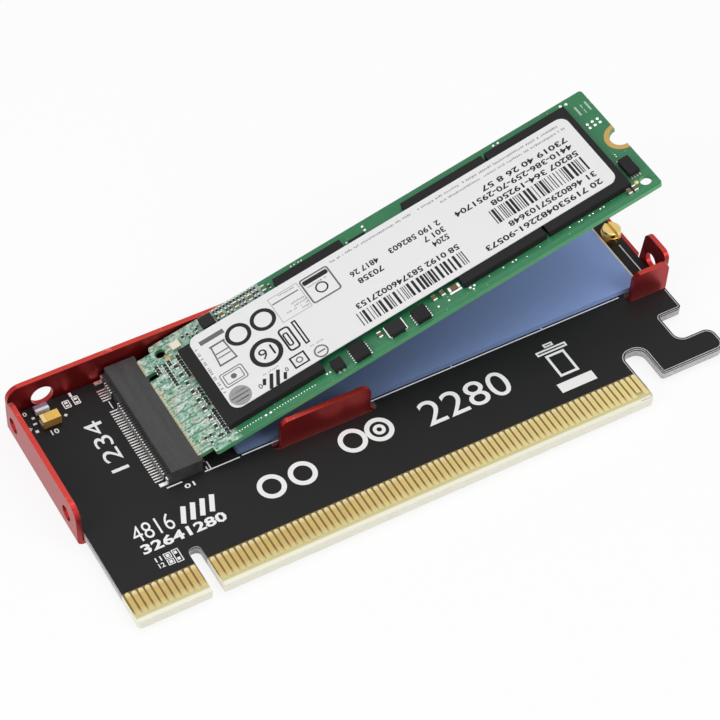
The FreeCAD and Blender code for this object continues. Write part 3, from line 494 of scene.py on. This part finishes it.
boardInk = grained("boardInk", (0.42, 0.56, 0.47), 0.5, shade=0.15)
tinyBlack = grained("tinyBody", (0.016, 0.016, 0.017), 0.5, shade=0.3)
solderTin = grained("solderTin", (0.84, 0.84, 0.82), 0.26, 0.85, scale=900, depth=0.3)
goldSpot = goldFinish("goldSpot", 0.0)
ringGold = grained("ringGold", (0.46, 0.29, 0.10), 0.36, 0.8, scale=1400, shade=0.15)
# a grey for the painted highlight line along the milled chamfer
highlightLineGrey = grained("paintedHighlightGrey", (0.50, 0.50, 0.50), 0.5, scale=2200, shade=0.45)
print("finishes: %d" % len(finishes))

printLook = {"deep": 0.012, "smallText": 2.0, "smallCurve": 2, "curve": 5}

def startPiece(name):
    deselect()
    bpy.ops.mesh.primitive_plane_add(size=1)
    piece = bpy.context.object
    piece.name = name
    piece.data.name = name
    mode("EDIT")
    pick()
    bpy.ops.mesh.delete(type="VERT")
    return piece

def show(item):
    bpy.context.scene.collection.objects.link(item)

def addBar(deep, x, y, width, height, turn=0.0):
    pick("DESELECT")
    bpy.ops.mesh.primitive_cube_add(size=1, location=(x, y, deep / 2), rotation=(0, 0, math.radians(turn)),
                                    scale=(width, height, deep))

def addBlock(low, high):
    size = [high[axis] - low[axis] for axis in range(3)]
    centre = [(high[axis] + low[axis]) / 2 for axis in range(3)]
    pick("DESELECT")
    bpy.ops.mesh.primitive_cube_add(size=1, location=centre, scale=size)

def addFrame(deep, x, y, width, height, line):
    # four bars round a rectangle
    for side in (-1, 1):
        addBar(deep, x, y + side * (height - line) / 2, width, line)
        addBar(deep, x + side * (width - line) / 2, y, line, height - 2 * line)

def addDisc(x, y, radius, sides):
    pick("DESELECT")
    bpy.ops.mesh.primitive_circle_add(vertices=sides, radius=radius, fill_type="NGON", location=(x, y, 0))

def addRing(x, y, outer, inner, steps=32):
    # a disc, inset, with its middle taken out
    addDisc(x, y, outer, steps)
    if inner > 0:
        bpy.ops.mesh.inset(thickness=(outer - inner) * math.cos(math.pi / steps), use_boundary=True)
        bpy.ops.mesh.delete(type="FACE")

def thicken(piece, deep):
    # flat shapes get their thickness upwards, with faces outwards
    only(piece)
    for face in piece.data.polygons:
        if face.normal.z < 0:
            face.flip()
    solid = piece.modifiers.new("thickness", "SOLIDIFY")
    solid.thickness = deep
    solid.offset = 1.0
    bpy.ops.object.modifier_apply(modifier="thickness")

def ringSet(name, rings, deep):
    piece = startPiece(name)
    for entry in rings:
        addRing(*entry)
    mode("OBJECT")
    thicken(piece, deep)
    return piece

def joinPieces(first, others):
    only(first)
    for item in others:
        item.select_set(True)
    if others:
        bpy.ops.object.join()

def endPiece(piece, place, body, finish, lift=0.0):
    # move the piece to its place, give it its finish and let it ride
    mode("OBJECT")
    piece.data.transform(place @ Matrix.Translation((0, 0, lift)))
    piece.data.materials.clear()
    piece.data.materials.append(finish.material)
    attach(piece, body)

def digits(text, x, y, length, height, turn, weight, deep):
    # plain numbers as a thin closed mesh of a given length and height, centred on x and y
    deselect()
    bpy.ops.object.text_add(location=(0, 0, 0))
    words = bpy.context.object
    words.data.body = text
    small = height < printLook["smallText"]
    words.data.resolution_u = printLook["smallCurve"] if small else printLook["curve"]
    words.data.offset = weight
    words.data.extrude = deep / 2
    bpy.ops.object.convert(target="MESH")
    words = bpy.context.object
    xs = [vertex.co.x for vertex in words.data.vertices]
    ys = [vertex.co.y for vertex in words.data.vertices]
    across, up = max(xs) - min(xs), max(ys) - min(ys)
    centre = Matrix.Translation((-(max(xs) + min(xs)) / 2, -(max(ys) + min(ys)) / 2, 0))
    words.data.transform(Matrix.Translation((x, y, deep / 2)) @ Matrix.Rotation(math.radians(turn), 4, "Z")
                         @ Matrix.Diagonal((length / across, height / up, 1, 1)) @ centre)
    return words

def addRoundFrame(x, y, width, height, line, radius):
    # a plate with rounded corners, inset, with its middle taken out; no line leaves it whole
    pick("DESELECT")
    bpy.ops.mesh.primitive_plane_add(size=1, location=(x, y, 0))
    bpy.ops.transform.resize(value=(width, height, 1), center_override=(x, y, 0))
    bpy.ops.mesh.bevel(offset=radius, segments=4, affect="VERTICES")
    if line:
        bpy.ops.mesh.inset(thickness=line, use_boundary=True)
        bpy.ops.mesh.delete(type="FACE")

def printed(name, place, body, finish, lift, shapes, deep=printLook["deep"]):
    # all the print of one colour as one piece
    piece = startPiece(name)
    for entry in shapes.get("bars", []):
        addBar(deep, *entry)
    for entry in shapes.get("frames", []):
        addFrame(deep, *entry)
    mode("OBJECT")
    others = [digits(*entry, deep) for entry in shapes.get("numbers", [])]
    if "rings" in shapes:
        others.append(ringSet(name + "Rings", shapes["rings"], deep))
    if "rounded" in shapes:
        flat = startPiece(name + "Rounded")
        for entry in shapes["rounded"]:
            addRoundFrame(*entry)
        mode("OBJECT")
        thicken(flat, deep)
        others.append(flat)
    joinPieces(piece, others)
    endPiece(piece, place, body, finish, lift)

def islands(node, place):
    # the box of each loose part of a CAD node, in the axes of a place
    mesh = nodes[node].data
    back = place.inverted()
    points = [back @ vertex.co for vertex in mesh.vertices]
    keys = {}
    owner = list(range(len(points)))

    def root(index):
        while owner[index] != index:
            owner[index] = owner[owner[index]]
            index = owner[index]
        return index

    for index, vertex in enumerate(mesh.vertices):
        key = tuple(round(value, 7) for value in vertex.co)
        if key in keys:
            owner[root(index)] = root(keys[key])
        else:
            keys[key] = index
    for edge in mesh.edges:
        first, second = edge.vertices
        owner[root(first)] = root(second)
    boxes = {}
    for index, point in enumerate(points):
        entry = boxes.setdefault(root(index), [Vector(point), Vector(point)])
        for axis in range(3):
            entry[0][axis] = min(entry[0][axis], point[axis])
            entry[1][axis] = max(entry[1][axis], point[axis])
    return sorted(boxes.values(), key=lambda entry: (round(entry[0].x, 3), round(entry[0].y, 3)))

# card-edge contacts with rounded tops
fingerLook = {"round": 0.3, "steps": 3, "upright": 0.01}

def fingerPads(name, node, finish):
    # each contact is a bar with its two upper corners rounded
    pads = []
    for low, high in islands(node, cardPlace):
        deselect()
        bpy.ops.mesh.primitive_cube_add(size=1, location=(low + high) / 2, scale=high - low)
        pad = bpy.context.object
        bpy.ops.object.transform_apply()
        mode("EDIT")
        pick("DESELECT")
        mode("OBJECT")
        for edge in pad.data.edges:
            first, second = [pad.data.vertices[index].co for index in edge.vertices]
            upright = abs(first.z - second.z) > fingerLook["upright"]
            edge.select = upright and first.y > (low.y + high.y) / 2
        mode("EDIT")
        bpy.ops.mesh.select_mode(type="EDGE")
        bpy.ops.mesh.bevel(offset=fingerLook["round"], segments=fingerLook["steps"], affect="EDGES")
        mode("OBJECT")
        pads.append(pad)
    piece = pads[0]
    joinPieces(piece, pads[1:])
    piece.name = name
    piece.data.name = name
    bpy.ops.object.origin_set(type="ORIGIN_CURSOR")
    piece.data.transform(cardPlace)
    piece.data.materials.append(finish.material)
    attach(piece, card)
    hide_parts(node)

bpy.context.scene.cursor.location = (0, 0, 0)
fingerPads("goldFingersTop", "edge_contacts_top", finishes["edge_contacts_top"])
fingerPads("goldFingersUnder", "edge_contacts_bottom", finishes["edge_contacts_bottom"])
print("contacts done")

# a painted highlight: a pale line just inside the cut edge round the hook and its notches, where light falls on the
# milled chamfer
rimLook = {"inset": 0.2, "line": 0.14, "deep": 0.012, "merge": 0.0005, "level": 0.01,
           "from": 81.4, "upTo": 12.7, "tabFrom": 11.6, "tabTo": 96.2}

def keepFaces(piece, wanted):
    # deletes every face that isn't wanted
    bpy.ops.mesh.select_mode(type="FACE")
    pick("DESELECT")
    mode("OBJECT")
    for face in piece.data.polygons:
        face.select = not wanted(face)
    mode("EDIT")
    bpy.ops.mesh.delete(type="FACE")

def rimLine():
    # the board's upper face, inset twice, so that only a narrow band along its edge is left
    piece = bpy.data.objects.new("paintedHighlightLine", nodes["adapter_board"].data.copy())
    show(piece)
    for key in list(piece.data.keys()):
        del piece.data[key]
    piece.data.name = "paintedHighlightLine"
    piece.data.transform(cardPlace.inverted())
    only(piece)
    mode("EDIT")
    pick()
    bpy.ops.mesh.remove_doubles(threshold=rimLook["merge"])
    keepFaces(piece, lambda face: face.normal.z > 0.9 and abs(face.center.z) < rimLook["level"])
    pick()
    bpy.ops.mesh.inset(thickness=rimLook["inset"], use_boundary=True)
    pick("INVERT")
    bpy.ops.mesh.delete(type="FACE")
    pick()
    bpy.ops.mesh.inset(thickness=rimLook["line"], use_boundary=True)
    bpy.ops.mesh.delete(type="FACE")
    # only the hook's end of the board has the line, and it stops below the tray's tab
    cuts = (((rimLook["from"], 0, 0), (-1, 0, 0), True), ((0, rimLook["upTo"], 0), (0, 1, 0), True),
            ((0, rimLook["tabFrom"], 0), (0, 1, 0), False))
    for place, normal, clear in cuts:
        pick()
        bpy.ops.mesh.bisect(plane_co=place, plane_no=normal, clear_outer=clear)
    keepFaces(piece, lambda face: face.center.y <= rimLook["tabFrom"] or face.center.x >= rimLook["tabTo"])
    mode("OBJECT")
    thicken(piece, rimLook["deep"])
    endPiece(piece, cardPlace, card, highlightLineGrey)

rimLine()
print("rim line done")

# print on the card
cardPrint = {
    # centre, length, height, turn
    "bars": [
        # outline of the drive's place, its ticks and the socket's corner lines
        (21.9, 13.7, 5.6, 0.18), (57.45, 13.85, 64.7, 0.18), (20.1, 14.5, 0.18, 1.5), (19.6, 14.1, 0.14, 0.8),
        (76.0, 14.3, 0.16, 0.9), (60.2, 14.2, 0.16, 0.8), (14.2, 13.6, 2.4, 0.2), (12.7, 31.0, 0.16, 1.5),
        (96.0, 19.9, 0.2, 6.2),
        # slanted bars beside the first numbers
        *[(along, 8.3, 0.75, 3.0, -24) for along in (12.9, 14.4, 15.9, 17.4)],
        # under the far marking, and the small pads beside the capacitor
        (75.1, 2.8, 6.1, 1.75), (0.55, 32.3, 0.6, 0.16), (0.55, 32.3, 0.16, 0.6), (6.15, 32.35, 0.45, 0.45, 45),
        (1.75, 34.0, 0.45, 0.4), (1.25, 31.5, 0.5, 0.5), (1.55, 32.9, 0.6, 0.35),
        # pads inside the footprints
        (7.1, 34.4, 0.5, 0.4), (7.1, 33.8, 0.5, 0.3), (8.65, 34.5, 0.5, 0.4), (8.65, 33.8, 0.5, 0.3),
        (7.8, 3.1, 0.5, 0.5), (7.8, 1.95, 0.5, 0.5), (9.0, 3.1, 0.45, 0.5), (9.0, 1.95, 0.45, 0.5)],
    # centre, outer and inner radius
    "rings": [(26.2, 6.9, 2.15, 1.4), (31.2, 6.9, 2.15, 1.4), (40.4, 8.7, 2.2, 1.45), (44.8, 8.7, 2.2, 1.45),
              (44.8, 8.7, 0.95, 0.4)],
    # centre, length, height, line
    "frames": [(7.8, 3.1, 1.05, 1.0, 0.14), (7.8, 1.95, 1.05, 1.0, 0.14), (9.05, 2.5, 1.05, 2.3, 0.14),
               (75.1, 6.9, 3.3, 4.5, 0.42), (75.1, 9.9, 5.2, 0.85, 0.3), (75.1, 10.9, 1.6, 0.7, 0.25)],
    # centre, length, height, line, corner
    "rounded": [(7.1, 34.1, 1.1, 1.5, 0.15, 0.15), (8.65, 34.2, 1.0, 1.6, 0.15, 0.15)],
    # text, centre, length, height, turn, weight
    "numbers": [
        ("1234", 8.75, 24.5, 10.0, 2.7, 90, 0.0), ("2280", 58.9, 7.9, 14.6, 4.6, 0, 0.0),
        ("4816", 8.1, 8.3, 6.2, 2.9, 0, -0.004), ("32641280", 11.6, 5.5, 13.1, 1.75, 0, 0.03),
        ("01", 16.1, 12.6, 1.6, 0.8, 0, 0.02), ("1", 8.3, 35.5, 0.4, 0.8, 180, 0.02),
        ("11", 6.4, 3.1, 0.9, 0.8, 0, 0.02), ("12", 6.4, 2.0, 0.9, 0.8, 0, 0.02),
        ("01", 3.5, 30.3, 1.2, 0.95, 180, 0.02), ("01", 0.75, 35.2, 1.0, 0.8, 180, 0.02)],
}
printed("cardPrint", cardPlace, card, whiteInk, 0.0, cardPrint)
print("card print done")

# print on the drive's label
labelLook = {
    "height": 1.06, "weight": 0.024,
    # the numbers read from the far side: text, left, right, centre across
    "text": [
        ("4817 26", 34.5, 39.3, 13.5), ("70358", 34.9, 39.1, 11.8), ("2 190 582603", 41.2, 49.9, 13.6),
        ("301 7", 46.3, 49.9, 12.1), ("5204", 47.0, 49.7, 10.6), ("58 0192 5837460027153", 32.4, 49.9, 8.1),
        ("20 719530482261-90573", 52.8, 72.8, 5.0), ("31 46802957103648", 57.8, 72.8, 6.7),
        ("58207 364-192508", 57.7, 72.8, 11.5), ("4410-386-259-70-2951704", 52.4, 72.8, 13.1),
        ("73019 40 26 8 57", 57.9, 72.8, 14.6)],
    # left, right, low, high, seed
    "barcodes": [(31.7, 49.9, 4.6, 7.1, 3), (56.6, 72.8, 7.8, 10.6, 8)],
    "barWidths": (0.12, 0.16, 0.3, 0.42), "barGaps": (0.16, 0.22, 0.42), "lastBar": 0.3,
    # left, right, centre across, height, seed
    "fineLines": [
        (25.0, 27.1, 14.6, 0.3, 30), (24.6, 27.1, 14.05, 0.3, 31), (23.4, 27.1, 13.5, 0.3, 32),
        (26.0, 27.1, 12.95, 0.3, 33), (33.2, 47.2, 17.45, 0.42, 11), (48.5, 73.8, 17.5, 0.42, 12),
        (51.9, 73.8, 16.5, 0.40, 13), (23.8, 26.8, 17.0, 0.3, 14), (28.2, 32.0, 15.6, 0.28, 15),
        (15.6, 18.2, 6.35, 0.22, 16), (23.6, 25.6, 6.35, 0.22, 17)],
    "spaces": 0.14, "space": 0.3, "dash": (0.10, 0.26), "wobble": 0.06, "short": 0.6, "dashGap": 0.11,
    # a column of small marks at the label's end: seed, along, first across, step, count
    "column": (9, 9.65, 16.2, 0.39, 24), "columnWidth": 0.42, "columnLeft": 0.2, "columnHeight": (0.12, 0.26),
}
# plain shapes where the marks are
blackShapes = {
    "bars": [(16.1, 4.7, 2.6, 0.55, 62), (17.2, 4.7, 2.6, 0.55, 62), (18.2, 4.3, 1.2, 0.5, 62),
             (15.2, 5.2, 1.1, 0.5, 62)],
    "rings": [(17.9, 9.45, 2.5, 1.78), (20.25, 14.8, 1.98, 1.36), (16.05, 14.8, 1.98, 1.36),
              (30.1, 14.4, 1.0, 0.76)],
    "frames": [(23.65, 9.5, 0.75, 4.7, 0.24), (21.2, 5.4, 2.5, 2.2, 0.26)],
    "rounded": [(30.1, 16.5, 4.2, 0.85, 0, 0.3), (21.75, 9.5, 1.9, 4.5, 0.3, 0.6),
                (21.6, 9.5, 0.9, 2.6, 0.24, 0.35)],
    "numbers": [("16", 17.9, 9.45, 2.3, 1.9, 180, 0.0)],
}
greyShapes = {
    "bars": [(12.6, 16.8, 4.0, 0.8), (24.8, 16.15, 4.4, 0.22), (11.3, 6.15, 2.4, 0.2), (11.3, 5.45, 3.0, 0.2),
             (11.3, 4.7, 2.2, 0.2), (24.5, 4.75, 1.3, 0.24), (12.7, 11.6, 3.0, 0.3), (12.7, 15.3, 2.6, 0.3),
             (11.5, 13.4, 0.22, 3.6, -5), (13.9, 13.4, 0.22, 3.6, 5), (12.7, 13.7, 2.1, 0.2),
             (12.7, 12.9, 2.1, 0.2)],
    "rings": [(24.5, 4.75, 1.1, 0.86), (12.1, 8.9, 0.45, 0.0), (21.2, 5.4, 0.55, 0.35)],
    "rounded": [(30.1, 14.9, 4.9, 5.0, 0.26, 0.5), (12.1, 8.9, 3.8, 2.7, 0.16, 0.4),
                (12.1, 8.9, 2.9, 1.9, 0.14, 0.25)],
    "numbers": [("0", 14.4, 4.9, 0.6, 0.9, 180, 0.02), ("0", 18.9, 5.1, 0.5, 0.8, 180, 0.02)],
}
paleShapes = {"bars": [], "rings": [(11.3, 5.4, 1.7, 0.0)], "frames": [(24.9, 14.9, 5.0, 5.0, 0.09)]}

def barcode(left, right, low, high, seed):
    # upright lines of mixed widths
    chance = random.Random(seed)
    x = left
    while x < right - labelLook["lastBar"]:
        width = chance.choice(labelLook["barWidths"])
        blackShapes["bars"].append((x + width / 2, (low + high) / 2, width, high - low))
        x += width + chance.choice(labelLook["barGaps"])

def fineLine(left, right, y, height, seed):
    # a line of very small words, as broken upright dashes
    chance = random.Random(seed)
    x = left
    while x < right:
        if chance.random() < labelLook["spaces"]:
            x += labelLook["space"]
            continue
        width = chance.uniform(*labelLook["dash"])
        wobble = chance.uniform(-labelLook["wobble"], labelLook["wobble"])
        tall = height * chance.uniform(labelLook["short"], 1.0)
        paleShapes["bars"].append((x + width / 2, y + wobble, width, tall))
        x += width + labelLook["dashGap"]

def smallColumn(seed, x, y, step, count):
    chance = random.Random(seed)
    for index in range(count):
        if chance.random() > labelLook["columnLeft"]:
            height = chance.uniform(*labelLook["columnHeight"])
            paleShapes["bars"].append((x, y - index * step, labelLook["columnWidth"], height))

for entry in labelLook["barcodes"]:
    barcode(*entry)
for entry in labelLook["fineLines"]:
    fineLine(*entry)
smallColumn(*labelLook["column"])
for text, left, right, across in labelLook["text"]:
    blackShapes["numbers"].append(
        (text, (left + right) / 2, across, right - left, labelLook["height"], 180, labelLook["weight"]))
labelLift = driveTop + driveSeat["chipHeight"] + driveSeat["labelHeight"]
printed("labelBlackPrint", drivePlace, drive, blackInk, labelLift, blackShapes)
printed("labelGreyPrint", drivePlace, drive, greyInk, labelLift, greyShapes)
printed("labelPalePrint", drivePlace, drive, paleInk, labelLift, paleShapes)
print("label print done")

# metal marks on the drive
driveMarks = {
    "ringAt": (80.0, 11.0), "ringRadii": (2.55, 1.77), "ringSides": 48, "ringDeep": 0.03, "end": 79.98,
    # along, across, radius of each solder dot
    # solder dots: across, radius, and the places along
    "dots": [(1.1, 0.24, 12.8, 13.6), (1.7, 0.2, 23.4, 23.95, 42.3, 44.1), (1.7, 0.24, 47.7, 48.4),
             (1.2, 0.18, 48.0), (1.7, 0.18, 53.4, 55.0, 55.6), (1.7, 0.16, 64.9, 66.5, 67.0),
             (1.7, 0.17, 68.3, 68.9, 70.2, 70.8), (21.4, 0.24, 64.0, 64.8), (21.3, 0.27, 75.9),
             (21.1, 0.27, 76.8), (21.4, 0.15, 28.4, 29.0, 29.7, 30.2), (21.0, 0.24, 40.6), (20.2, 0.24, 40.6),
             (19.9, 0.2, 37.2), (8.6, 0.12, 77.3), (8.2, 0.12, 77.3), (1.2, 0.12, 57.2), (1.5, 0.12, 59.6),
             (1.7, 0.12, 51.0)],
    "goldDots": [(77.0, 2.4, 0.38), (5.75, 18.75, 0.42)],
    # a row of dots along the front edge: first along, step, count, across, radius, and the ones left out
    "row": (8.0, 0.45, 30, 1.15, 0.12), "rowWithout": (10, 11, 12, 13),
    # six pads in two lines: first along and across, steps, radius
    "six": (77.2, 15.9, 0.9, -0.8, 0.27),
    "bars": [(77.5, 18.85, 0.3, 1.9), (79.25, 18.85, 0.3, 1.9), (78.4, 19.3, 0.14, 0.8),
             (78.4, 18.2, 0.14, 0.8)],
    "barsDeep": 0.02,
}
# the steps of a dome: rise as a share of its height, and how much smaller its top gets
domeLook = {"sides": 10, "steps": ((1.0, 0.8), (0.4, 0.5)), "smooth": 50, "solder": 0.45, "gold": 0.12, "pad": 0.25}

def holdRing():
    # the plated ring round the half hole at the drive's end
    ring = (*driveMarks["ringAt"], *driveMarks["ringRadii"], driveMarks["ringSides"])
    piece = ringSet("holdRing", [ring], driveMarks["ringDeep"])
    mode("EDIT")
    pick()
    bpy.ops.mesh.bisect(plane_co=(driveMarks["end"], 0, 0), plane_no=(1, 0, 0), clear_outer=True, use_fill=True)
    endPiece(piece, drivePlace, drive, ringGold, driveTop)

def domes(name, spots, finish, height):
    # solder dots: a flat circle lifted to a smaller top, so each is a low mound
    piece = startPiece(name)
    for x, y, radius in spots:
        addDisc(x, y, radius, domeLook["sides"])
        for lift, share in domeLook["steps"]:
            rise = (0, 0, radius * height * lift)
            bpy.ops.mesh.extrude_region_move(TRANSFORM_OT_translate={"value": rise})
            bpy.ops.transform.resize(value=(share, share, 1), center_override=(x, y, 0))
    pick()
    bpy.ops.mesh.normals_make_consistent(inside=False)
    mode("OBJECT")
    bpy.ops.object.shade_smooth_by_angle(angle=math.radians(domeLook["smooth"]))
    endPiece(piece, drivePlace, drive, finish, driveTop)

holdRing()
dots = [(along, across, radius) for across, radius, *places in driveMarks["dots"] for along in places]
first, step, count, across, radius = driveMarks["row"]
dots += [(first + step * index, across, radius) for index in range(count)
         if index not in driveMarks["rowWithout"]]
domes("solderDots", dots, solderTin, domeLook["solder"])
domes("goldDots", driveMarks["goldDots"], goldSpot, domeLook["gold"])
x, y, along, down, radius = driveMarks["six"]
sixPads = [(x + along * column, y + down * line, radius) for column in range(3) for line in range(2)]
domes("sixPads", sixPads, solderTin, domeLook["pad"])
printed("drivePrint", drivePlace, drive, boardInk, driveTop, {"bars": driveMarks["bars"]},
        driveMarks["barsDeep"])
print("drive marks done")

# leads and terminals of the drive's small chips
terminalLook = {
    "lead": {"step": 0.45, "margin": 0.3, "half": 0.11, "reach": 0.32, "height": 0.14},
    "tab": {"shares": (0.3, 0.7), "half": 0.2, "reach": 0.35, "height": 0.2},
    "plate": {"reach": 0.2, "front": 0.12, "height": 0.75, "fold": 0.45, "foldHeight": 0.6},
    # along and across from, along and across to, height
    "bar": (44.7, 2.1, 46.7, 2.45, 0.3), "bevel": 0.03,
}

def chipTerminals():
    piece = startPiece("chipTerminals")
    lead, tab, plate = [terminalLook[key] for key in ("lead", "tab", "plate")]

    def block(x1, x2, y1, y2, height):
        addBlock((min(x1, x2), y1, driveTop), (max(x1, x2), y2, driveTop + height))

    # rows of leads on both sides of the larger chips
    power = islands("power_chips", drivePlace)
    for low, high in power[1:]:
        count = int((high.y - low.y - lead["margin"]) / lead["step"]) + 1
        start = (low.y + high.y - (count - 1) * lead["step"]) / 2
        for index in range(count):
            y = start + index * lead["step"]
            block(low.x, low.x - lead["reach"], y - lead["half"], y + lead["half"], lead["height"])
            block(high.x, high.x + lead["reach"], y - lead["half"], y + lead["half"], lead["height"])
    # two tabs in front of the smallest
    low, high = power[0]
    for share in tab["shares"]:
        x = low.x + (high.x - low.x) * share
        block(x - tab["half"], x + tab["half"], low.y - tab["reach"], low.y, tab["height"])
    # the coil's folded end plates
    low, high = max(islands("drive_inductors", drivePlace), key=lambda entry: entry[0].x)
    for inner, way in ((low.x, -1), (high.x, 1)):
        outer = inner + way * plate["reach"]
        block(inner, outer, low.y - plate["front"], high.y, plate["height"])
        block(outer, outer - way * plate["fold"], low.y - plate["front"], low.y, plate["foldHeight"])
    x1, y1, x2, y2, height = terminalLook["bar"]
    block(x1, x2, y1, y2, height)
    pick()
    bpy.ops.mesh.bevel(offset=terminalLook["bevel"], segments=1, affect="EDGES")
    endPiece(piece, drivePlace, drive, solderTin)

chipTerminals()

# tinned ends on the small parts
endLook = {"share": 0.18, "skin": 0.015}

def tinnedEnds(name, node):
    # a thin cap over each end of every small block in a node
    piece = startPiece(name)
    skin = endLook["skin"]
    for low, high in islands(node, drivePlace):
        size = high - low
        axis = 1 if size.y >= size.x else 0
        for side in (0, 1):
            capLow = Vector((low.x - skin, low.y - skin, low.z))
            capHigh = Vector((high.x + skin, high.y + skin, high.z + skin))
            reach = size[axis] * endLook["share"]
            if side:
                capLow[axis] = high[axis] - reach
            else:
                capHigh[axis] = low[axis] + reach
            addBlock(capLow, capHigh)
    endPiece(piece, drivePlace, drive, solderTin)

tinnedEnds("capacitorEnds", "drive_capacitors")
tinnedEnds("resistorEnds", "drive_resistors")

# clusters of very small parts on the drive
tinyLook = {
    "size": (0.82, 0.33, 0.26), "cap": 0.16, "capOver": 0.02, "bodyShort": 0.1, "bodyNarrow": 0.03,
    "bevel": 0.025, "spare": 0.06,
    # centre along, centre across, parts, step across: the long side lies along the drive
    "columns": [(7.02, 3.2, 7, 0.55), (7.02, 7.8, 3, 0.6), (7.02, 9.8, 3, 0.6), (7.02, 13.9, 8, 0.58),
                (4.75, 13.6, 8, 0.58), (3.55, 16.9, 3, 0.6), (5.5, 17.3, 2, 0.55), (7.0, 1.8, 2, 0.6)],
    # first along, centre across, parts, step along: the long side lies across it
    "rows": [(15.1, 21.3, 13, 0.58), (15.2, 20.42, 13, 0.58), (15.1, 19.55, 13, 0.58), (9.3, 20.3, 2, 0.75),
             (11.6, 20.3, 1, 0.7), (10.6, 19.5, 2, 0.7), (3.9, 2.9, 2, 0.8), (4.3, 1.7, 1, 0.8),
             (5.7, 2.0, 2, 0.5), (24.1, 20.2, 1, 1)],
}

def tinyParts():
    # one body and one pair of ends is modelled, then copied to every place
    length, width, height = tinyLook["size"]
    spots = []
    for u, v, count, step in tinyLook["columns"]:
        spots += [(u, v + index * step, 0) for index in range(count)]
    for u, v, count, step in tinyLook["rows"]:
        spots += [(u + index * step, v, 90) for index in range(count)]
    taken = [box for node in ("drive_capacitors", "drive_resistors", "drive_inductors", "crystal")
             for box in islands(node, drivePlace)]

    def free(spot):
        u, v, turn = spot
        along, across = (width, length) if turn else (length, width)
        along, across = along / 2 + tinyLook["spare"], across / 2 + tinyLook["spare"]
        return not any(low.x - along < u < high.x + along and low.y - across < v < high.y + across
                       for low, high in taken)

    spots = [spot for spot in spots if free(spot)]
    cap = tinyLook["cap"]
    bodies = [(0.0, length - tinyLook["bodyShort"], width - tinyLook["bodyNarrow"], height)]
    caps = [(side * (length - cap) / 2, cap, width, height + tinyLook["capOver"]) for side in (-1, 1)]
    for name, finish, blocks in (("tinyParts", tinyBlack, bodies), ("tinyEnds", solderTin, caps)):
        pattern = startPiece(name)
        for x, long, wide, high in blocks:
            addBlock((x - long / 2, -wide / 2, 0), (x + long / 2, wide / 2, high))
        pick()
        bpy.ops.mesh.bevel(offset=tinyLook["bevel"], segments=1, affect="EDGES")
        mode("OBJECT")
        copies = []
        for u, v, turn in spots:
            copy = pattern.copy()
            copy.data = pattern.data.copy()
            show(copy)
            copy.data.transform(Matrix.Translation((u, v, driveTop)) @ Matrix.Rotation(math.radians(turn), 4, "Z"))
            copies.append(copy)
        only(pattern)
        bpy.ops.object.delete()
        joinPieces(copies[0], copies[1:])
        copies[0].name = name
        copies[0].data.name = name
        endPiece(copies[0], drivePlace, drive, finish)
    print("tiny parts: %d" % len(spots))

tinyParts()

# floor, lights and camera
stageLook = {"floor": 1.6, "drop": 0.02, "pale": (0.90, 0.90, 0.90), "whiteShare": 0.86, "sky": 0.30,
             "white": (1.0, 1.0, 1.0)}

def seenRays(graph):
    # 1 where the camera, a reflection or a clear piece sees it, and 0 for its light on the object
    rays = graph.outputs(graph.node("ShaderNodeLightPath", {}, {}))
    seen = {ray.socket.name: ray for ray in rays}
    return seen["Is Camera Ray"].most(seen["Is Glossy Ray"]).most(seen["Is Transmission Ray"])

deselect()
bpy.ops.mesh.primitive_plane_add(size=stageLook["floor"], location=(0, 0, cadBox[0].z - stageLook["drop"] * mm))
floor = bpy.context.object
floor.name = "floor"
bpy.ops.object.transform_apply()
pale = Finish("paleFloor", stageLook["pale"], 0.9)
glow = pale.node("ShaderNodeEmission", {}, {"Color": stageLook["white"], "Strength": 1.0})
lit = Wire(pale, pale.shader.outputs[0])
mixed = pale.node("ShaderNodeMixShader", {}, [seenRays(pale) * stageLook["whiteShare"], lit, glow])
pale.join(mixed, pale.tree.nodes["Material Output"].inputs["Surface"])
floor.data.materials.append(pale.material)

world = bpy.data.worlds.new("paleRoom")
bpy.context.scene.world = world
world.use_nodes = True
room = Graph(world.node_tree)
sky = room.tree.nodes["Background"]
sky.inputs["Color"].default_value = (*stageLook["white"], 1)
sky.inputs["Strength"].default_value = stageLook["sky"]
backdrop = room.node("ShaderNodeBackground", {}, {"Strength": 1.0})
mixed = room.node("ShaderNodeMixShader", {}, [seenRays(room), Wire(room, sky.outputs[0]), backdrop])
room.join(mixed, room.tree.nodes["World Output"].inputs["Surface"])

lampLook = [
    # place, size, power, all aimed at the card's middle
    ((-0.42, -0.06, 0.26), 0.30, 1.0),
    ((0.02, 0.06, 0.50), 0.40, 0.9),
    ((0.26, -0.32, 0.30), 0.30, 0.95),
]
for index, (place, size, power) in enumerate(lampLook):
    lamp = bpy.data.lights.new("softLamp%d" % index, "AREA")
    lamp.energy = power
    lamp.size = size
    holder = bpy.data.objects.new("softLamp%d" % index, lamp)
    holder.location = place
    holder.rotation_euler = Vector(place).to_track_quat("Z", "Y").to_euler()
    show(holder)

cameraLook = {"lens": 121.68, "sensor": 36, "near": 0.01, "place": (-0.123816, -0.193499, 0.275748),
              "turn": (40.5895, -1.9497, -29.6799)}
lens = bpy.data.cameras.new("viewCamera")
lens.lens = cameraLook["lens"]
lens.sensor_width = cameraLook["sensor"]
lens.clip_start = cameraLook["near"]
viewer = bpy.data.objects.new("viewCamera", lens)
viewer.location = cameraLook["place"]
viewer.rotation_euler = [math.radians(angle) for angle in cameraLook["turn"]]
show(viewer)
bpy.context.scene.camera = viewer
bpy.context.scene.view_settings.view_transform = "Standard"
print("stage done")
